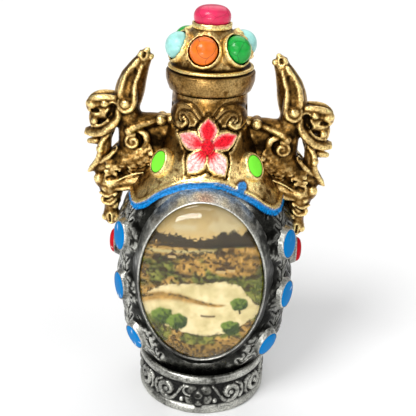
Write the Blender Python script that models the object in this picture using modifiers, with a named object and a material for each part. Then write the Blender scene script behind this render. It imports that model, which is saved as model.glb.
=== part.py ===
"""A cast-metal snuff bottle: a hollow egg-shaped body on a ring foot, an oval picture under a glass
dome on each face, a trunked beast soldered to each side, and a stopper set with seven stones."""

import math

import bmesh
import bpy
from mathutils import Matrix, Vector

MM = 0.001

# Fits: the gap left between two pieces that touch
FIT_GAP = 0.3 * MM

# Foot ring. The body sits in it, biting into its lip at the sides and clear of it front and back
FOOT_RADIUS = 16.0 * MM
FOOT_HEIGHT = 10.8 * MM
FOOT_RIM_HEIGHT = 2.1 * MM
FOOT_BAND_DEPTH = 0.8 * MM
FOOT_LIP = 1.3 * MM
FOOT_GROOVE_DEPTH = 1.6 * MM
FOOT_CHAMFER = 0.6 * MM
SEAT_BITE = 0.6 * MM
SEAT_GAP = 1.4 * MM
FOOT_SIDES = 28

# Hollow body
WALL = 2.2 * MM
FLOOR = 2.5 * MM
BODY_HALF_WIDTH = 20.7 * MM
BODY_HALF_DEPTH = 14.0 * MM
BODY_WIDEST_Z = 35.0 * MM
BODY_SQUARENESS = 2.4
BODY_SIDES = 28
CAVITY_SIDES = 20

# Neck
NECK_START_Z = 70.0 * MM
NECK_TOP_Z = 77.0 * MM
NECK_FOOT_RADIUS = 8.6 * MM
NECK_RADIUS = 8.25 * MM
BORE_RADIUS = 5.0 * MM

# Gold shell: how far it stands over the silver body, and its wavy lower edge
SHELL_STEP = 0.8 * MM
EDGE_FRONT_Z = 58.9 * MM
EDGE_LOW_Z = 51.9 * MM
EDGE_SIDE_Z = 53.4 * MM
EDGE_ARCH_ANGLE = math.radians(50)

# Oval frames, pictures and glass domes
FRAME_CENTRE_Z = 35.9 * MM
FRAME_HALF_WIDTH = 15.2 * MM
FRAME_HALF_HEIGHT = 22.1 * MM
FRAME_LIP_WIDTH = 1.6 * MM
FRAME_STAND = 1.4 * MM
FRAME_LIP_OVER_GLASS = 0.4 * MM
PICTURE_THICKNESS = 0.4 * MM
GLASS_EDGE = 0.7 * MM
GLASS_RISE = 2.6 * MM
OVAL_SIDES = 24

# Enamelled studs: place on the face as (x, z), half sizes and height
BLUE_STUDS = ((18.6 * MM, 43.6 * MM), (19.0 * MM, 30.2 * MM), (15.4 * MM, 17.6 * MM))
BLUE_STUD_HALF = (3.0 * MM, 3.8 * MM)
RED_STUD_Z = 38.4 * MM
RED_STUD_HALF = (2.8 * MM, 3.4 * MM)
GREEN_STUD = (10.0 * MM, 61.4 * MM)
GREEN_STUD_HALF = (2.6 * MM, 3.2 * MM)
STUD_HEIGHT = 1.5 * MM
STUD_SIDES = 8

# Five-petalled flower on the shoulder, as (x, z) on the face
FLOWER_CENTRE = (0.0, 66.4 * MM)
PETAL_TIPS = ((0.0, 73.2 * MM), (6.5 * MM, 68.9 * MM), (4.2 * MM, 60.5 * MM))
PETAL_HALF_WIDTH = 2.4 * MM
PETAL_HEIGHT = 0.8 * MM
FLOWER_BOSS_RADIUS = 1.4 * MM

# Scrolls and rosettes round the foot
FOOT_REPEATS = 4
SCROLL_RADIUS = 2.6 * MM
SCROLL_WIRE = 0.5 * MM
SCROLL_ANGLE = math.radians(30)
ROSETTE_RADIUS = 3.1 * MM
ROSETTE_BALL = 1.2 * MM

# Beast handles. Their own drawing is made in parts, 42 to the height of a handle
HANDLE_HEIGHT = 42.0 * MM
HANDLE_FOOT_Z = 43.6 * MM
HANDLE_LEAN = math.radians(1.5)
HANDLE_PIVOT = (10.5 * MM, 70.0 * MM)

# Stopper
FLANGE_RADIUS = 9.8 * MM
FLANGE_HEIGHT = 4.6 * MM
BRIM_RADIUS = 9.4 * MM
BRIM_HEIGHT = 0.9 * MM
DOME_FOOT_RADIUS = 8.2 * MM
DOME_HEIGHT = 7.4 * MM
COLLAR_RADIUS = 4.3 * MM
COLLAR_HEIGHT = 1.2 * MM
PLUG_LENGTH = 8.0 * MM
STOPPER_SIDES = 24

# Stones of the stopper
STONE_COUNT = 6
STONE_FIRST_ANGLE = math.radians(-10)
STONE_RADIUS = 2.95 * MM
STONE_RISE = 2.4 * MM
STONE_LEVEL = 0.46
CUP_WALL = 0.5 * MM
CUP_HEIGHT = 1.5 * MM
SEAT_DEPTH = 1.0 * MM
TOP_STONE_RADIUS = 4.1 * MM
TOP_STONE_HEIGHT = 3.3 * MM
TOP_SEAT_DEPTH = 0.8 * MM
STONE_SIDES = 10

# Derived places
SEAT_HALF_WIDTH = FOOT_RADIUS - FOOT_LIP + SEAT_BITE
SEAT_HALF_DEPTH = FOOT_RADIUS - FOOT_LIP - SEAT_GAP
GROOVE_Z = FOOT_HEIGHT - FOOT_GROOVE_DEPTH
FRAME_FACE_Y = BODY_HALF_DEPTH + FRAME_STAND
RECESS_DEPTH = 2 * FIT_GAP + PICTURE_THICKNESS + GLASS_EDGE + FRAME_LIP_OVER_GLASS
RECESS_Y = FRAME_FACE_Y - RECESS_DEPTH
HANDLE_PART = HANDLE_HEIGHT / 42
STOPPER_Z = NECK_TOP_Z + FIT_GAP
DOME_Z = STOPPER_Z + FLANGE_HEIGHT + BRIM_HEIGHT
COLLAR_Z = DOME_Z + DOME_HEIGHT
COLLAR_TOP_Z = COLLAR_Z + COLLAR_HEIGHT
FRONT, BACK = -1, 1
LEFT, RIGHT = -1, 1

# Body outline below and above its widest level: (share of the height, of the width, of the depth)
LOWER_OUTLINE = (
    (0, 0, 0), (0.07, 0.1, 0.2), (0.22, 0.46, 0.6), (0.42, 0.79, 0.88), (0.69, 0.96, 1), (1, 1, 1),
)
UPPER_OUTLINE = (
    (0, 0, 0), (0.14, 0.127, 0.06), (0.286, 0.341, 0.3), (0.43, 0.62, 0.7),
    (0.571, 0.88, 0.9), (0.77, 0.985, 1), (1, 1, 1),
)

COLOURS = {
    "antique_gold": ((0.55, 0.36, 0.10), 0.32, 1.0),
    "antique_silver": ((0.42, 0.41, 0.39), 0.35, 1.0),
    "picture_paper": ((0.62, 0.52, 0.26), 0.6, 0.0),
    "clear_glass": ((0.95, 0.95, 0.92), 0.03, 0.0),
    "orange_stone": ((0.83, 0.15, 0.02), 0.25, 0.0),
    "green_stone": ((0.01, 0.33, 0.05), 0.25, 0.0),
    "cyan_stone": ((0.40, 0.85, 0.82), 0.25, 0.0),
    "pink_stone": ((0.80, 0.04, 0.12), 0.25, 0.0),
}


def clear_scene():
    for obj in list(bpy.data.objects):
        bpy.data.objects.remove(obj, do_unlink=True)


def collection_named(name):
    collection = bpy.data.collections.new(name)
    bpy.context.scene.collection.children.link(collection)
    return collection


def material_named(name):
    material = bpy.data.materials.get(name)
    if material is None:
        colour, roughness, metallic = COLOURS[name]
        material = bpy.data.materials.new(name)
        material.use_nodes = True
        shader = material.node_tree.nodes["Principled BSDF"]
        shader.inputs["Base Color"].default_value = (*colour, 1.0)
        shader.inputs["Roughness"].default_value = roughness
        shader.inputs["Metallic"].default_value = metallic
        material.diffuse_color = (*colour, 1.0)
    return material


def object_of(name, mesh):
    obj = bpy.data.objects.new(name, mesh)
    PARTS.objects.link(obj)
    return obj


def finish_piece(obj, material):
    """Gives a piece its material, clears splits within flat faces and smooths all but its sharp edges."""
    bm = bmesh.new()
    bm.from_mesh(obj.data)
    bmesh.ops.dissolve_limit(bm, angle_limit=math.radians(1), verts=bm.verts, edges=bm.edges)
    bmesh.ops.triangulate(bm, faces=bm.faces)
    bm.to_mesh(obj.data)
    bm.free()
    obj.data.materials.clear()
    obj.data.materials.append(material_named(material))
    obj.data.shade_smooth()
    obj.data.set_sharp_from_angle(angle=math.radians(40))
    return obj


def evaluated_mesh(obj):
    """The object's final mesh, welded, with the object itself removed."""
    bpy.context.view_layer.update()
    graph = bpy.context.evaluated_depsgraph_get()
    mesh = bpy.data.meshes.new_from_object(obj.evaluated_get(graph))
    mesh.transform(obj.matrix_world)
    bm = bmesh.new()
    bm.from_mesh(mesh)
    bmesh.ops.remove_doubles(bm, verts=bm.verts, dist=0.001 * MM)
    bmesh.ops.recalc_face_normals(bm, faces=bm.faces)
    bmesh.ops.triangulate(bm, faces=bm.faces)
    bm.to_mesh(mesh)
    bm.free()
    bpy.data.objects.remove(obj, do_unlink=True)
    return mesh


def boolean(base, other, operation):
    """Joins or cuts one piece with another, which is used up."""
    modifier = base.modifiers.new(operation.lower(), "BOOLEAN")
    modifier.operation = operation
    modifier.solver = "EXACT"
    modifier.object = other
    name = base.name
    mesh = evaluated_mesh(base)
    bpy.data.objects.remove(other, do_unlink=True)
    return object_of(name, mesh)


def united(base, pieces):
    for piece in pieces:
        base = boolean(base, piece, "UNION")
    return base


def cut(base, cutters):
    for cutter in cutters:
        base = boolean(base, cutter, "DIFFERENCE")
    return base


def loft(name, rings):
    """A closed solid through rings of as many points each, flat at both ends."""
    bm = bmesh.new()
    rows = [[bm.verts.new(point) for point in ring] for ring in rings]
    count = len(rows[0])
    for low, high in zip(rows, rows[1:]):
        for i in range(count):
            j = (i + 1) % count
            bm.faces.new((low[i], low[j], high[j], high[i]))
    bm.faces.new(reversed(rows[0]))
    bm.faces.new(rows[-1])
    bmesh.ops.recalc_face_normals(bm, faces=bm.faces)
    bmesh.ops.triangulate(bm, faces=bm.faces)
    mesh = bpy.data.meshes.new(name)
    bm.to_mesh(mesh)
    bm.free()
    return object_of(name, mesh)


def turned(name, profile, sides):
    """A turned solid. The profile runs from the axis at the top, down the outer side, to the axis below."""
    mesh = bpy.data.meshes.new(name)
    edges = [(i, i + 1) for i in range(len(profile) - 1)]
    mesh.from_pydata([(radius, 0.0, z) for radius, z in profile], edges, [])
    obj = object_of(name, mesh)
    screw = obj.modifiers.new("turn", "SCREW")
    screw.axis = "Z"
    screw.steps = sides
    screw.render_steps = sides
    screw.use_merge_vertices = True
    screw.merge_threshold = 0.001 * MM
    return object_of(name, evaluated_mesh(obj))


def wire(name, points, radii, fullness=1.0, resolution=1):
    """A round wire through the points, a radius at each, its thickness in Y times the fullness."""
    curve = bpy.data.curves.new(name, "CURVE")
    curve.dimensions = "3D"
    curve.bevel_depth = 1.0
    curve.bevel_resolution = resolution
    curve.use_fill_caps = True
    spline = curve.splines.new("POLY")
    spline.points.add(len(points) - 1)
    for point, place, radius in zip(spline.points, points, radii):
        point.co = (*place, 1.0)
        point.radius = radius
    obj = object_of(name, curve)
    mesh = evaluated_mesh(obj)
    if fullness != 1.0:
        middle = sum((Vector(place) for place in points), Vector()) / len(points)
        mesh.transform(Matrix.Translation(middle) @ Matrix.Diagonal((1, fullness, 1, 1))
                       @ Matrix.Translation(-middle))
    return object_of(name, mesh)


def ball(name, centre, radius, segments=8, rings=5):
    bm = bmesh.new()
    bmesh.ops.create_uvsphere(bm, u_segments=segments, v_segments=rings, radius=radius)
    bmesh.ops.translate(bm, verts=bm.verts, vec=centre)
    mesh = bpy.data.meshes.new(name)
    bm.to_mesh(mesh)
    bm.free()
    return object_of(name, mesh)


def smooth_through(points, at):
    """Values at a place along stations (place, value, value...), smoothly between them."""
    last = len(points) - 1
    k = 0
    while k < last - 1 and at > points[k + 1][0]:
        k += 1
    a, b = points[k], points[k + 1]
    span = b[0] - a[0]
    t = min(max((at - a[0]) / span, 0.0), 1.0)
    values = []
    for i in range(1, len(a)):
        slope_a = slope_at(points, k, i) * span
        slope_b = slope_at(points, k + 1, i) * span
        values.append((2 * t**3 - 3 * t**2 + 1) * a[i] + (t**3 - 2 * t**2 + t) * slope_a
                      + (3 * t**2 - 2 * t**3) * b[i] + (t**3 - t**2) * slope_b)
    return values


def slope_at(points, k, i):
    low = points[max(k - 1, 0)]
    high = points[min(k + 1, len(points) - 1)]
    return (high[i] - low[i]) / (high[0] - low[0])


def body_section(z):
    """Half width, half depth and squareness of the body at a height."""
    if z >= NECK_START_Z:
        share = (z - NECK_START_Z) / (NECK_TOP_Z - NECK_START_Z)
        radius = NECK_FOOT_RADIUS + (NECK_RADIUS - NECK_FOOT_RADIUS) * min(share, 1.0)
        return radius, radius, 2.0
    if z < BODY_WIDEST_Z:
        width, depth = smooth_through(LOWER_OUTLINE, (z - GROOVE_Z) / (BODY_WIDEST_Z - GROOVE_Z))
        from_width, from_depth = SEAT_HALF_WIDTH, SEAT_HALF_DEPTH
    else:
        share = (NECK_START_Z - z) / (NECK_START_Z - BODY_WIDEST_Z)
        width, depth = smooth_through(UPPER_OUTLINE, share)
        from_width, from_depth = NECK_FOOT_RADIUS, NECK_FOOT_RADIUS
    return (
        from_width + (BODY_HALF_WIDTH - from_width) * width,
        from_depth + (BODY_HALF_DEPTH - from_depth) * depth,
        2.0 + (BODY_SQUARENESS - 2.0) * max(width, 0.0),
    )


def shell_edge(turn):
    """Height of the shell's wavy lower edge at a turn round the body, 0 at +X."""
    off_face = math.atan2(abs(math.cos(turn)), abs(math.sin(turn)))
    arch = max(0.0, 1.0 - (off_face / EDGE_ARCH_ANGLE) ** 2)
    beyond = max(0.0, off_face - EDGE_ARCH_ANGLE) / (math.pi / 2 - EDGE_ARCH_ANGLE)
    lift = math.sin(beyond * math.pi / 2) ** 2
    return EDGE_LOW_Z + (EDGE_FRONT_Z - EDGE_LOW_Z) * arch + (EDGE_SIDE_Z - EDGE_LOW_Z) * lift


def shell_lift(turn, z):
    """How far the gold shell stands out over the plain outline, none below its edge."""
    edge = shell_edge(turn)
    if z < edge:
        return 0.0
    return SHELL_STEP * max(0.0, 1.0 - (z - edge) / (NECK_START_Z - edge))


def section_point(turn, z, width, depth, squareness):
    power = 2.0 / squareness
    cosine, sine = math.cos(turn), math.sin(turn)
    return Vector((
        width * math.copysign(abs(cosine) ** power, cosine),
        depth * math.copysign(abs(sine) ** power, sine),
        z,
    ))


def body_point(turn, z, out=0.0):
    """A point of the body's outside, or that far out from it."""
    width, depth, squareness = body_section(z)
    lift = shell_lift(turn, z)
    point = section_point(turn, z, width + lift, depth + lift, squareness)
    return point + body_normal(turn, z) * out if out else point


def body_normal(turn, z):
    """The way the body's outside faces at a point."""
    step_turn, step_z = 0.01, 0.2 * MM
    width, depth, squareness = body_section(z)
    here = section_point(turn, z, width, depth, squareness)
    along = section_point(turn + step_turn, z, width, depth, squareness) - here
    higher_width, higher_depth, _ = body_section(z + step_z)
    up = section_point(turn, z + step_z, higher_width, higher_depth, squareness) - here
    return along.cross(up).normalized()


def face_turn(x, z, face):
    """The turn round the body at which a face has this x."""
    width, _, squareness = body_section(z)
    share = min(abs(x) / (width + shell_lift(math.pi / 2, z)), 1.0)
    turn = math.acos(share ** (squareness / 2.0))
    if x < 0:
        turn = math.pi - turn
    return turn * face


def face_point(x, z, face, out=0.0):
    return body_point(face_turn(x, z, face), z, out)


def turns(sides):
    return [2 * math.pi * (i + 0.5) / sides for i in range(sides)]


def body_rings(grow):
    """Rings from inside the foot to the neck's top, meeting the shell's wavy edge in a small step."""
    lower_rows, upper_rows, neck_rows = 6, 7, 1
    start_z = GROOVE_Z - FOOT_GROOVE_DEPTH
    shares = [("low", i / lower_rows) for i in range(lower_rows + 1)]
    shares += [("high", i / upper_rows) for i in range(upper_rows + 1)]
    shares += [("neck", i / neck_rows) for i in range(1, neck_rows + 1)]
    rings = []
    for zone, share in shares:
        ring = []
        for turn in turns(BODY_SIDES):
            edge = shell_edge(turn)
            if zone == "low":
                z = start_z + (edge - start_z) * share
            elif zone == "high":
                z = edge + (NECK_START_Z - edge) * share
            else:
                z = NECK_START_Z + (NECK_TOP_Z - NECK_START_Z) * share
            width, depth, squareness = body_section(max(z, GROOVE_Z))
            lift = 0.0 if zone == "low" else shell_lift(turn, z)
            ring.append(section_point(turn, z, width + lift + grow, depth + lift + grow, squareness))
        rings.append(ring)
    return rings


def foot_solid():
    inner = FOOT_RADIUS - FOOT_LIP
    band = FOOT_RADIUS - FOOT_BAND_DEPTH
    soft = FOOT_CHAMFER
    profile = (
        (0, GROOVE_Z),
        (inner, GROOVE_Z),
        (inner, FOOT_HEIGHT),
        (FOOT_RADIUS - soft, FOOT_HEIGHT),
        (FOOT_RADIUS, FOOT_HEIGHT - soft),
        (FOOT_RADIUS, FOOT_HEIGHT - FOOT_RIM_HEIGHT),
        (band, FOOT_HEIGHT - FOOT_RIM_HEIGHT - soft / 2),
        (band, FOOT_RIM_HEIGHT + soft / 2),
        (FOOT_RADIUS, FOOT_RIM_HEIGHT),
        (FOOT_RADIUS, soft),
        (FOOT_RADIUS - soft, 0),
        (0, 0),
    )
    return turned("foot", profile, FOOT_SIDES)


def around_foot(angle, across, up, out):
    """A point on the foot's band: an arc length across from an angle off the front, and a height."""
    turn = angle - math.pi / 2 + across / FOOT_RADIUS
    radius = FOOT_RADIUS - FOOT_BAND_DEPTH + out
    return Vector((radius * math.cos(turn), radius * math.sin(turn), FOOT_HEIGHT / 2 + up))


def foot_scroll(angle, side):
    points = []
    steps = 7
    for i in range(steps):
        share = i / (steps - 1)
        swing = math.radians(-150) + share * math.radians(390)
        reach = SCROLL_RADIUS * (1.0 - 0.6 * share)
        points.append(around_foot(angle, side * reach * math.cos(swing), reach * math.sin(swing), 0.2 * MM))
    return wire("scroll", points, [SCROLL_WIRE * (0.8 + 0.5 * i / steps) for i in range(steps)], resolution=0)


def foot_rosette(angle):
    """Five round lobes in one low relief round a ball."""
    lobes, per_lobe = 5, 3
    rings = []
    for out in (-0.6 * MM, 0.55 * MM):
        ring = []
        for i in range(lobes * per_lobe):
            swing = 2 * math.pi * i / (lobes * per_lobe)
            reach = ROSETTE_RADIUS * (0.62 + 0.38 * abs(math.sin(swing * lobes / 2)))
            ring.append(around_foot(angle, reach * math.sin(swing), reach * math.cos(swing), out))
        rings.append(ring)
    centre = around_foot(angle, 0.0, 0.0, 0.2 * MM)
    return [loft("rosette", rings), ball("rosette_ball", centre, ROSETTE_BALL, 6, 4)]


def foot_relief():
    pieces = []
    for k in range(FOOT_REPEATS):
        quarter = 2 * math.pi * k / FOOT_REPEATS
        pieces += foot_rosette(quarter)
        for side in (LEFT, RIGHT):
            pieces.append(foot_scroll(quarter + side * SCROLL_ANGLE, side))
    return pieces


def oval_ring(half_width, half_height, y, sides=OVAL_SIDES):
    return [
        Vector((half_width * math.cos(turn), y, FRAME_CENTRE_Z + half_height * math.sin(turn)))
        for turn in turns(sides)
    ]


def frame_solid(face):
    soft = FRAME_LIP_WIDTH / 4
    inside_y = BODY_HALF_DEPTH * 0.68
    return loft("frame", [
        oval_ring(FRAME_HALF_WIDTH, FRAME_HALF_HEIGHT, face * inside_y),
        oval_ring(FRAME_HALF_WIDTH, FRAME_HALF_HEIGHT, face * (FRAME_FACE_Y - soft)),
        oval_ring(FRAME_HALF_WIDTH - soft, FRAME_HALF_HEIGHT - soft, face * FRAME_FACE_Y),
    ])


def recess_cutter(face):
    half_width = FRAME_HALF_WIDTH - FRAME_LIP_WIDTH
    half_height = FRAME_HALF_HEIGHT - FRAME_LIP_WIDTH
    beyond = FRAME_FACE_Y + 2 * FRAME_STAND
    return loft("recess", [
        oval_ring(half_width, half_height, face * RECESS_Y),
        oval_ring(half_width, half_height, face * beyond),
    ])


def picture(name, face):
    half_width = FRAME_HALF_WIDTH - FRAME_LIP_WIDTH - FIT_GAP
    half_height = FRAME_HALF_HEIGHT - FRAME_LIP_WIDTH - FIT_GAP
    back_y = RECESS_Y + FIT_GAP
    obj = loft(name, [
        oval_ring(half_width, half_height, face * back_y),
        oval_ring(half_width, half_height, face * (back_y + PICTURE_THICKNESS)),
    ])
    return finish_piece(obj, "picture_paper")


def glass_dome(name, face):
    half_width = FRAME_HALF_WIDTH - FRAME_LIP_WIDTH - FIT_GAP
    half_height = FRAME_HALF_HEIGHT - FRAME_LIP_WIDTH - FIT_GAP
    back_y = RECESS_Y + 2 * FIT_GAP + PICTURE_THICKNESS
    rings = [oval_ring(half_width, half_height, face * back_y)]
    for share in (1.0, 0.8, 0.4):
        rise = GLASS_RISE * (1.0 - share**2) ** 0.7
        rings.append(oval_ring(half_width * share, half_height * share, face * (back_y + GLASS_EDGE + rise)))
    return finish_piece(loft(name, rings), "clear_glass")


def stud(turn, z, half_size):
    """An oval stud standing on the body's outside."""
    normal = body_normal(turn, z)
    across = Vector((-math.sin(turn), math.cos(turn), 0.0))
    across = (across - normal * across.dot(normal)).normalized()
    up = normal.cross(across)
    centre = body_point(turn, z)
    rings = []
    for share, out in ((1.1, -1.2 * MM), (0.78, STUD_HEIGHT)):
        ring = []
        for swing in turns(STUD_SIDES):
            place = across * half_size[0] * math.cos(swing) + up * half_size[1] * math.sin(swing)
            ring.append(centre + place * share + normal * out)
        rings.append(ring)
    return loft("stud", rings)


def studs():
    pieces = []
    for face in (FRONT, BACK):
        for side in (LEFT, RIGHT):
            for x, z in BLUE_STUDS:
                pieces.append(stud(face_turn(side * x, z, face), z, BLUE_STUD_HALF))
            x, z = GREEN_STUD
            pieces.append(stud(face_turn(side * x, z, face), z, GREEN_STUD_HALF))
    for turn in (0.0, math.pi):
        pieces.append(stud(turn, RED_STUD_Z, RED_STUD_HALF))
    return pieces


def petal(tip, face):
    """A pointed petal from the flower's centre, ridged along its middle."""
    start = Vector((FLOWER_CENTRE[0], 0.0, FLOWER_CENTRE[1]))
    reach = Vector((tip[0], 0.0, tip[1])) - start
    across = Vector((reach.z, 0.0, -reach.x)).normalized()
    rings = []
    for share, width in ((0.12, 0.45), (0.38, 0.85), (0.62, 1.0), (0.82, 0.7), (1.0, 0.06)):
        middle = start + reach * share
        half = across * PETAL_HALF_WIDTH * width
        left, right = middle - half, middle + half
        rings.append([
            face_point(left.x, left.z, face, 0.45 * PETAL_HEIGHT),
            face_point(middle.x, middle.z, face, PETAL_HEIGHT * (0.6 + 0.4 * width)),
            face_point(right.x, right.z, face, 0.45 * PETAL_HEIGHT),
            face_point(middle.x, middle.z, face, -1.2 * PETAL_HEIGHT),
        ])
    return loft("petal", rings)


def flower(face):
    pieces = [petal(PETAL_TIPS[0], face)]
    for x, z in PETAL_TIPS[1:]:
        pieces += [petal((side * x, z), face) for side in (LEFT, RIGHT)]
    centre = face_point(*FLOWER_CENTRE, face, 0.3 * MM)
    return pieces + [ball("flower_boss", centre, FLOWER_BOSS_RADIUS)]


def cavity():
    """The hollow inside: the outline less the wall, drawn in to the bore at the neck."""
    floor_width = SEAT_HALF_WIDTH - WALL
    floor_depth = SEAT_HALF_DEPTH - WALL
    rows = [(FLOOR, floor_width, floor_depth, 2.0), (GROOVE_Z, floor_width, floor_depth, 2.0)]
    top_z = NECK_START_Z - WALL
    steps = 6
    for i in range(1, steps + 1):
        z = GROOVE_Z + (top_z - GROOVE_Z) * i / steps
        width, depth, squareness = body_section(z)
        rows.append((z, max(width - WALL, BORE_RADIUS), max(depth - WALL, BORE_RADIUS), squareness))
    rows.append((NECK_START_Z + WALL, BORE_RADIUS, BORE_RADIUS, 2.0))
    rows.append((NECK_TOP_Z + WALL, BORE_RADIUS, BORE_RADIUS, 2.0))
    return loft("cavity", [
        [section_point(turn, z, width, depth, squareness) for turn in turns(CAVITY_SIDES)]
        for z, width, depth, squareness in rows
    ])


def bottle_body():
    body = loft("bottle_body", body_rings(0.0))
    body = united(body, [foot_solid(), frame_solid(FRONT), frame_solid(BACK)])
    body = united(body, studs() + flower(FRONT) + foot_relief())
    body = cut(body, [cavity(), recess_cutter(FRONT), recess_cutter(BACK)])
    return finish_piece(body, "antique_silver")


def handle_place(part_x, part_z, part_y=0.0):
    """A point of the handle's drawing, given in its parts from the bottle's axis and the hoof's sole."""
    return Vector((part_x * HANDLE_PART, part_y * HANDLE_PART, HANDLE_FOOT_Z + part_z * HANDLE_PART))


def limb(stations, fullness=1.0, part_y=0.0, resolution=1):
    """A limb of the beast through stations (x, z, radius) of the drawing."""
    points = [handle_place(x, z, part_y) for x, z, _ in stations]
    return wire("limb", points, [radius * HANDLE_PART for _, _, radius in stations], fullness, resolution)


def bead(x, z, y, radius):
    return ball("bead", handle_place(x, z, y), radius * HANDLE_PART, 7, 4)


def beast_solids():
    """The beast in the round: the raised trunk, the open jaw, neck, curled ear, mane and foreleg."""
    trunk = ((15.0, 41.6, 0.8), (15.4, 40.0, 1.9), (16.3, 37.4, 2.1), (17.4, 34.0, 2.7), (18.3, 30.0, 3.2),
             (18.2, 25.6, 2.9))
    neck = ((18.2, 27.0, 2.8), (17.6, 23.6, 2.9), (17.4, 20.6, 3.0), (17.6, 17.0, 3.2))
    snout = ((18.5, 29.2, 2.2), (21.6, 29.3, 1.6), (24.4, 29.1, 1.5), (26.2, 28.7, 1.3), (26.6, 27.6, 0.9))
    throat = ((19.0, 27.6, 2.2), (22.2, 26.6, 2.3), (24.8, 25.6, 2.0), (26.1, 24.0, 1.2))
    jaw = ((19.9, 29.0, 0.9), (20.1, 27.0, 1.4), (21.3, 24.8, 1.5), (23.6, 23.0, 1.3), (27.8, 22.2, 0.55))
    beard = ((21.9, 22.4, 0.9), (23.4, 19.8, 1.25), (23.7, 16.8, 1.25), (25.2, 14.2, 1.0), (27.6, 11.9, 0.35))
    lip = ((23.6, 19.7, 0.9), (25.6, 19.6, 0.9), (27.2, 19.3, 0.5))
    bar = ((7.0, 26.4, 2.1), (12.4, 26.0, 2.2), (15.6, 25.0, 2.5), (18.0, 24.2, 2.6))
    web = ((8.0, 22.6, 3.0), (13.0, 21.6, 3.4), (17.6, 20.4, 2.6))
    mane = ((11.0, 18.6, 2.4), (14.6, 17.8, 3.3), (18.2, 16.4, 3.3), (21.4, 14.8, 2.7), (24.2, 13.2, 1.7),
            (25.2, 11.6, 1.2))
    arm = ((12.0, 11.4, 2.2), (15.6, 11.2, 2.2), (18.8, 10.8, 2.2), (22.0, 10.4, 2.6), (24.0, 10.2, 1.9))
    shank = ((22.3, 10.6, 2.9), (21.9, 7.4, 2.9), (21.8, 4.6, 2.1), (22.1, 3.0, 1.55), (22.0, 1.6, 1.8),
             (21.9, 0.3, 1.3))
    solids = [
        limb(trunk, 1.0, resolution=2), limb(neck, 1.05), limb(snout, 1.6), limb(throat, 0.8),
        limb(jaw, 2.1), limb(beard, 1.5), limb(lip, 1.4), limb(bar, 1.2), limb(web, 0.4), limb(mane, 1.05),
        limb(arm, 1.25), limb(shank, 1.15),
    ]
    for side in (FRONT, BACK):
        solids.append(ear(side))
        solids += [bead(18.2, 29.4, side * 3.0, 1.2), bead(23.3, 29.4, side * 2.2, 1.0)]
    return solids


def ear(side):
    """A curled ear lying on one side of the neck."""
    steps = 8
    stations = []
    for i in range(steps):
        swing = math.radians(150 - 290 * i / (steps - 1))
        stations.append((16.9 + 1.6 * math.cos(swing), 21.0 + 1.6 * math.sin(swing), 0.7))
    return limb(stations, 1.0, side * 2.6)


def beast_handle(name, side):
    """A beast handle, trimmed to seat on the body with the fit's gap all round."""
    solids = beast_solids()
    handle = united(solids[0], solids[1:])
    pivot = Vector((HANDLE_PIVOT[0], 0.0, HANDLE_PIVOT[1]))
    lean = Matrix.Translation(pivot) @ Matrix.Rotation(side * HANDLE_LEAN, 4, "Y") @ Matrix.Translation(-pivot)
    handle.data.transform(lean)
    handle.name = name
    handle = cut(handle, [loft("seat", body_rings(FIT_GAP))])
    if side == LEFT:
        handle.data.transform(Matrix.Scale(-1.0, 4, (1, 0, 0)))
        handle.data.flip_normals()
    return finish_piece(handle, "antique_gold")


def stone_frame(k):
    """The seat of a stone on the stopper's cone: its centre, the way it faces and its turn."""
    turn = STONE_FIRST_ANGLE - math.pi / 2 + 2 * math.pi * k / STONE_COUNT
    slope = math.atan2(DOME_FOOT_RADIUS - COLLAR_RADIUS, DOME_HEIGHT)
    outward = Vector((math.cos(turn), math.sin(turn), 0.0))
    normal = outward * math.cos(slope) + Vector((0, 0, math.sin(slope)))
    radius = DOME_FOOT_RADIUS + (COLLAR_RADIUS - DOME_FOOT_RADIUS) * STONE_LEVEL
    centre = outward * radius + Vector((0, 0, DOME_Z + DOME_HEIGHT * STONE_LEVEL))
    across = Vector((-math.sin(turn), math.cos(turn), 0.0))
    return centre, normal, across


def stone_rings(k, stations, sides=STONE_SIDES):
    """Round rings (radius, height) standing on a stone's seat."""
    centre, normal, across = stone_frame(k)
    up = normal.cross(across)
    return [
        [centre + (across * math.cos(swing) + up * math.sin(swing)) * radius + normal * height
         for swing in turns(sides)]
        for radius, height in stations
    ]


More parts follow.
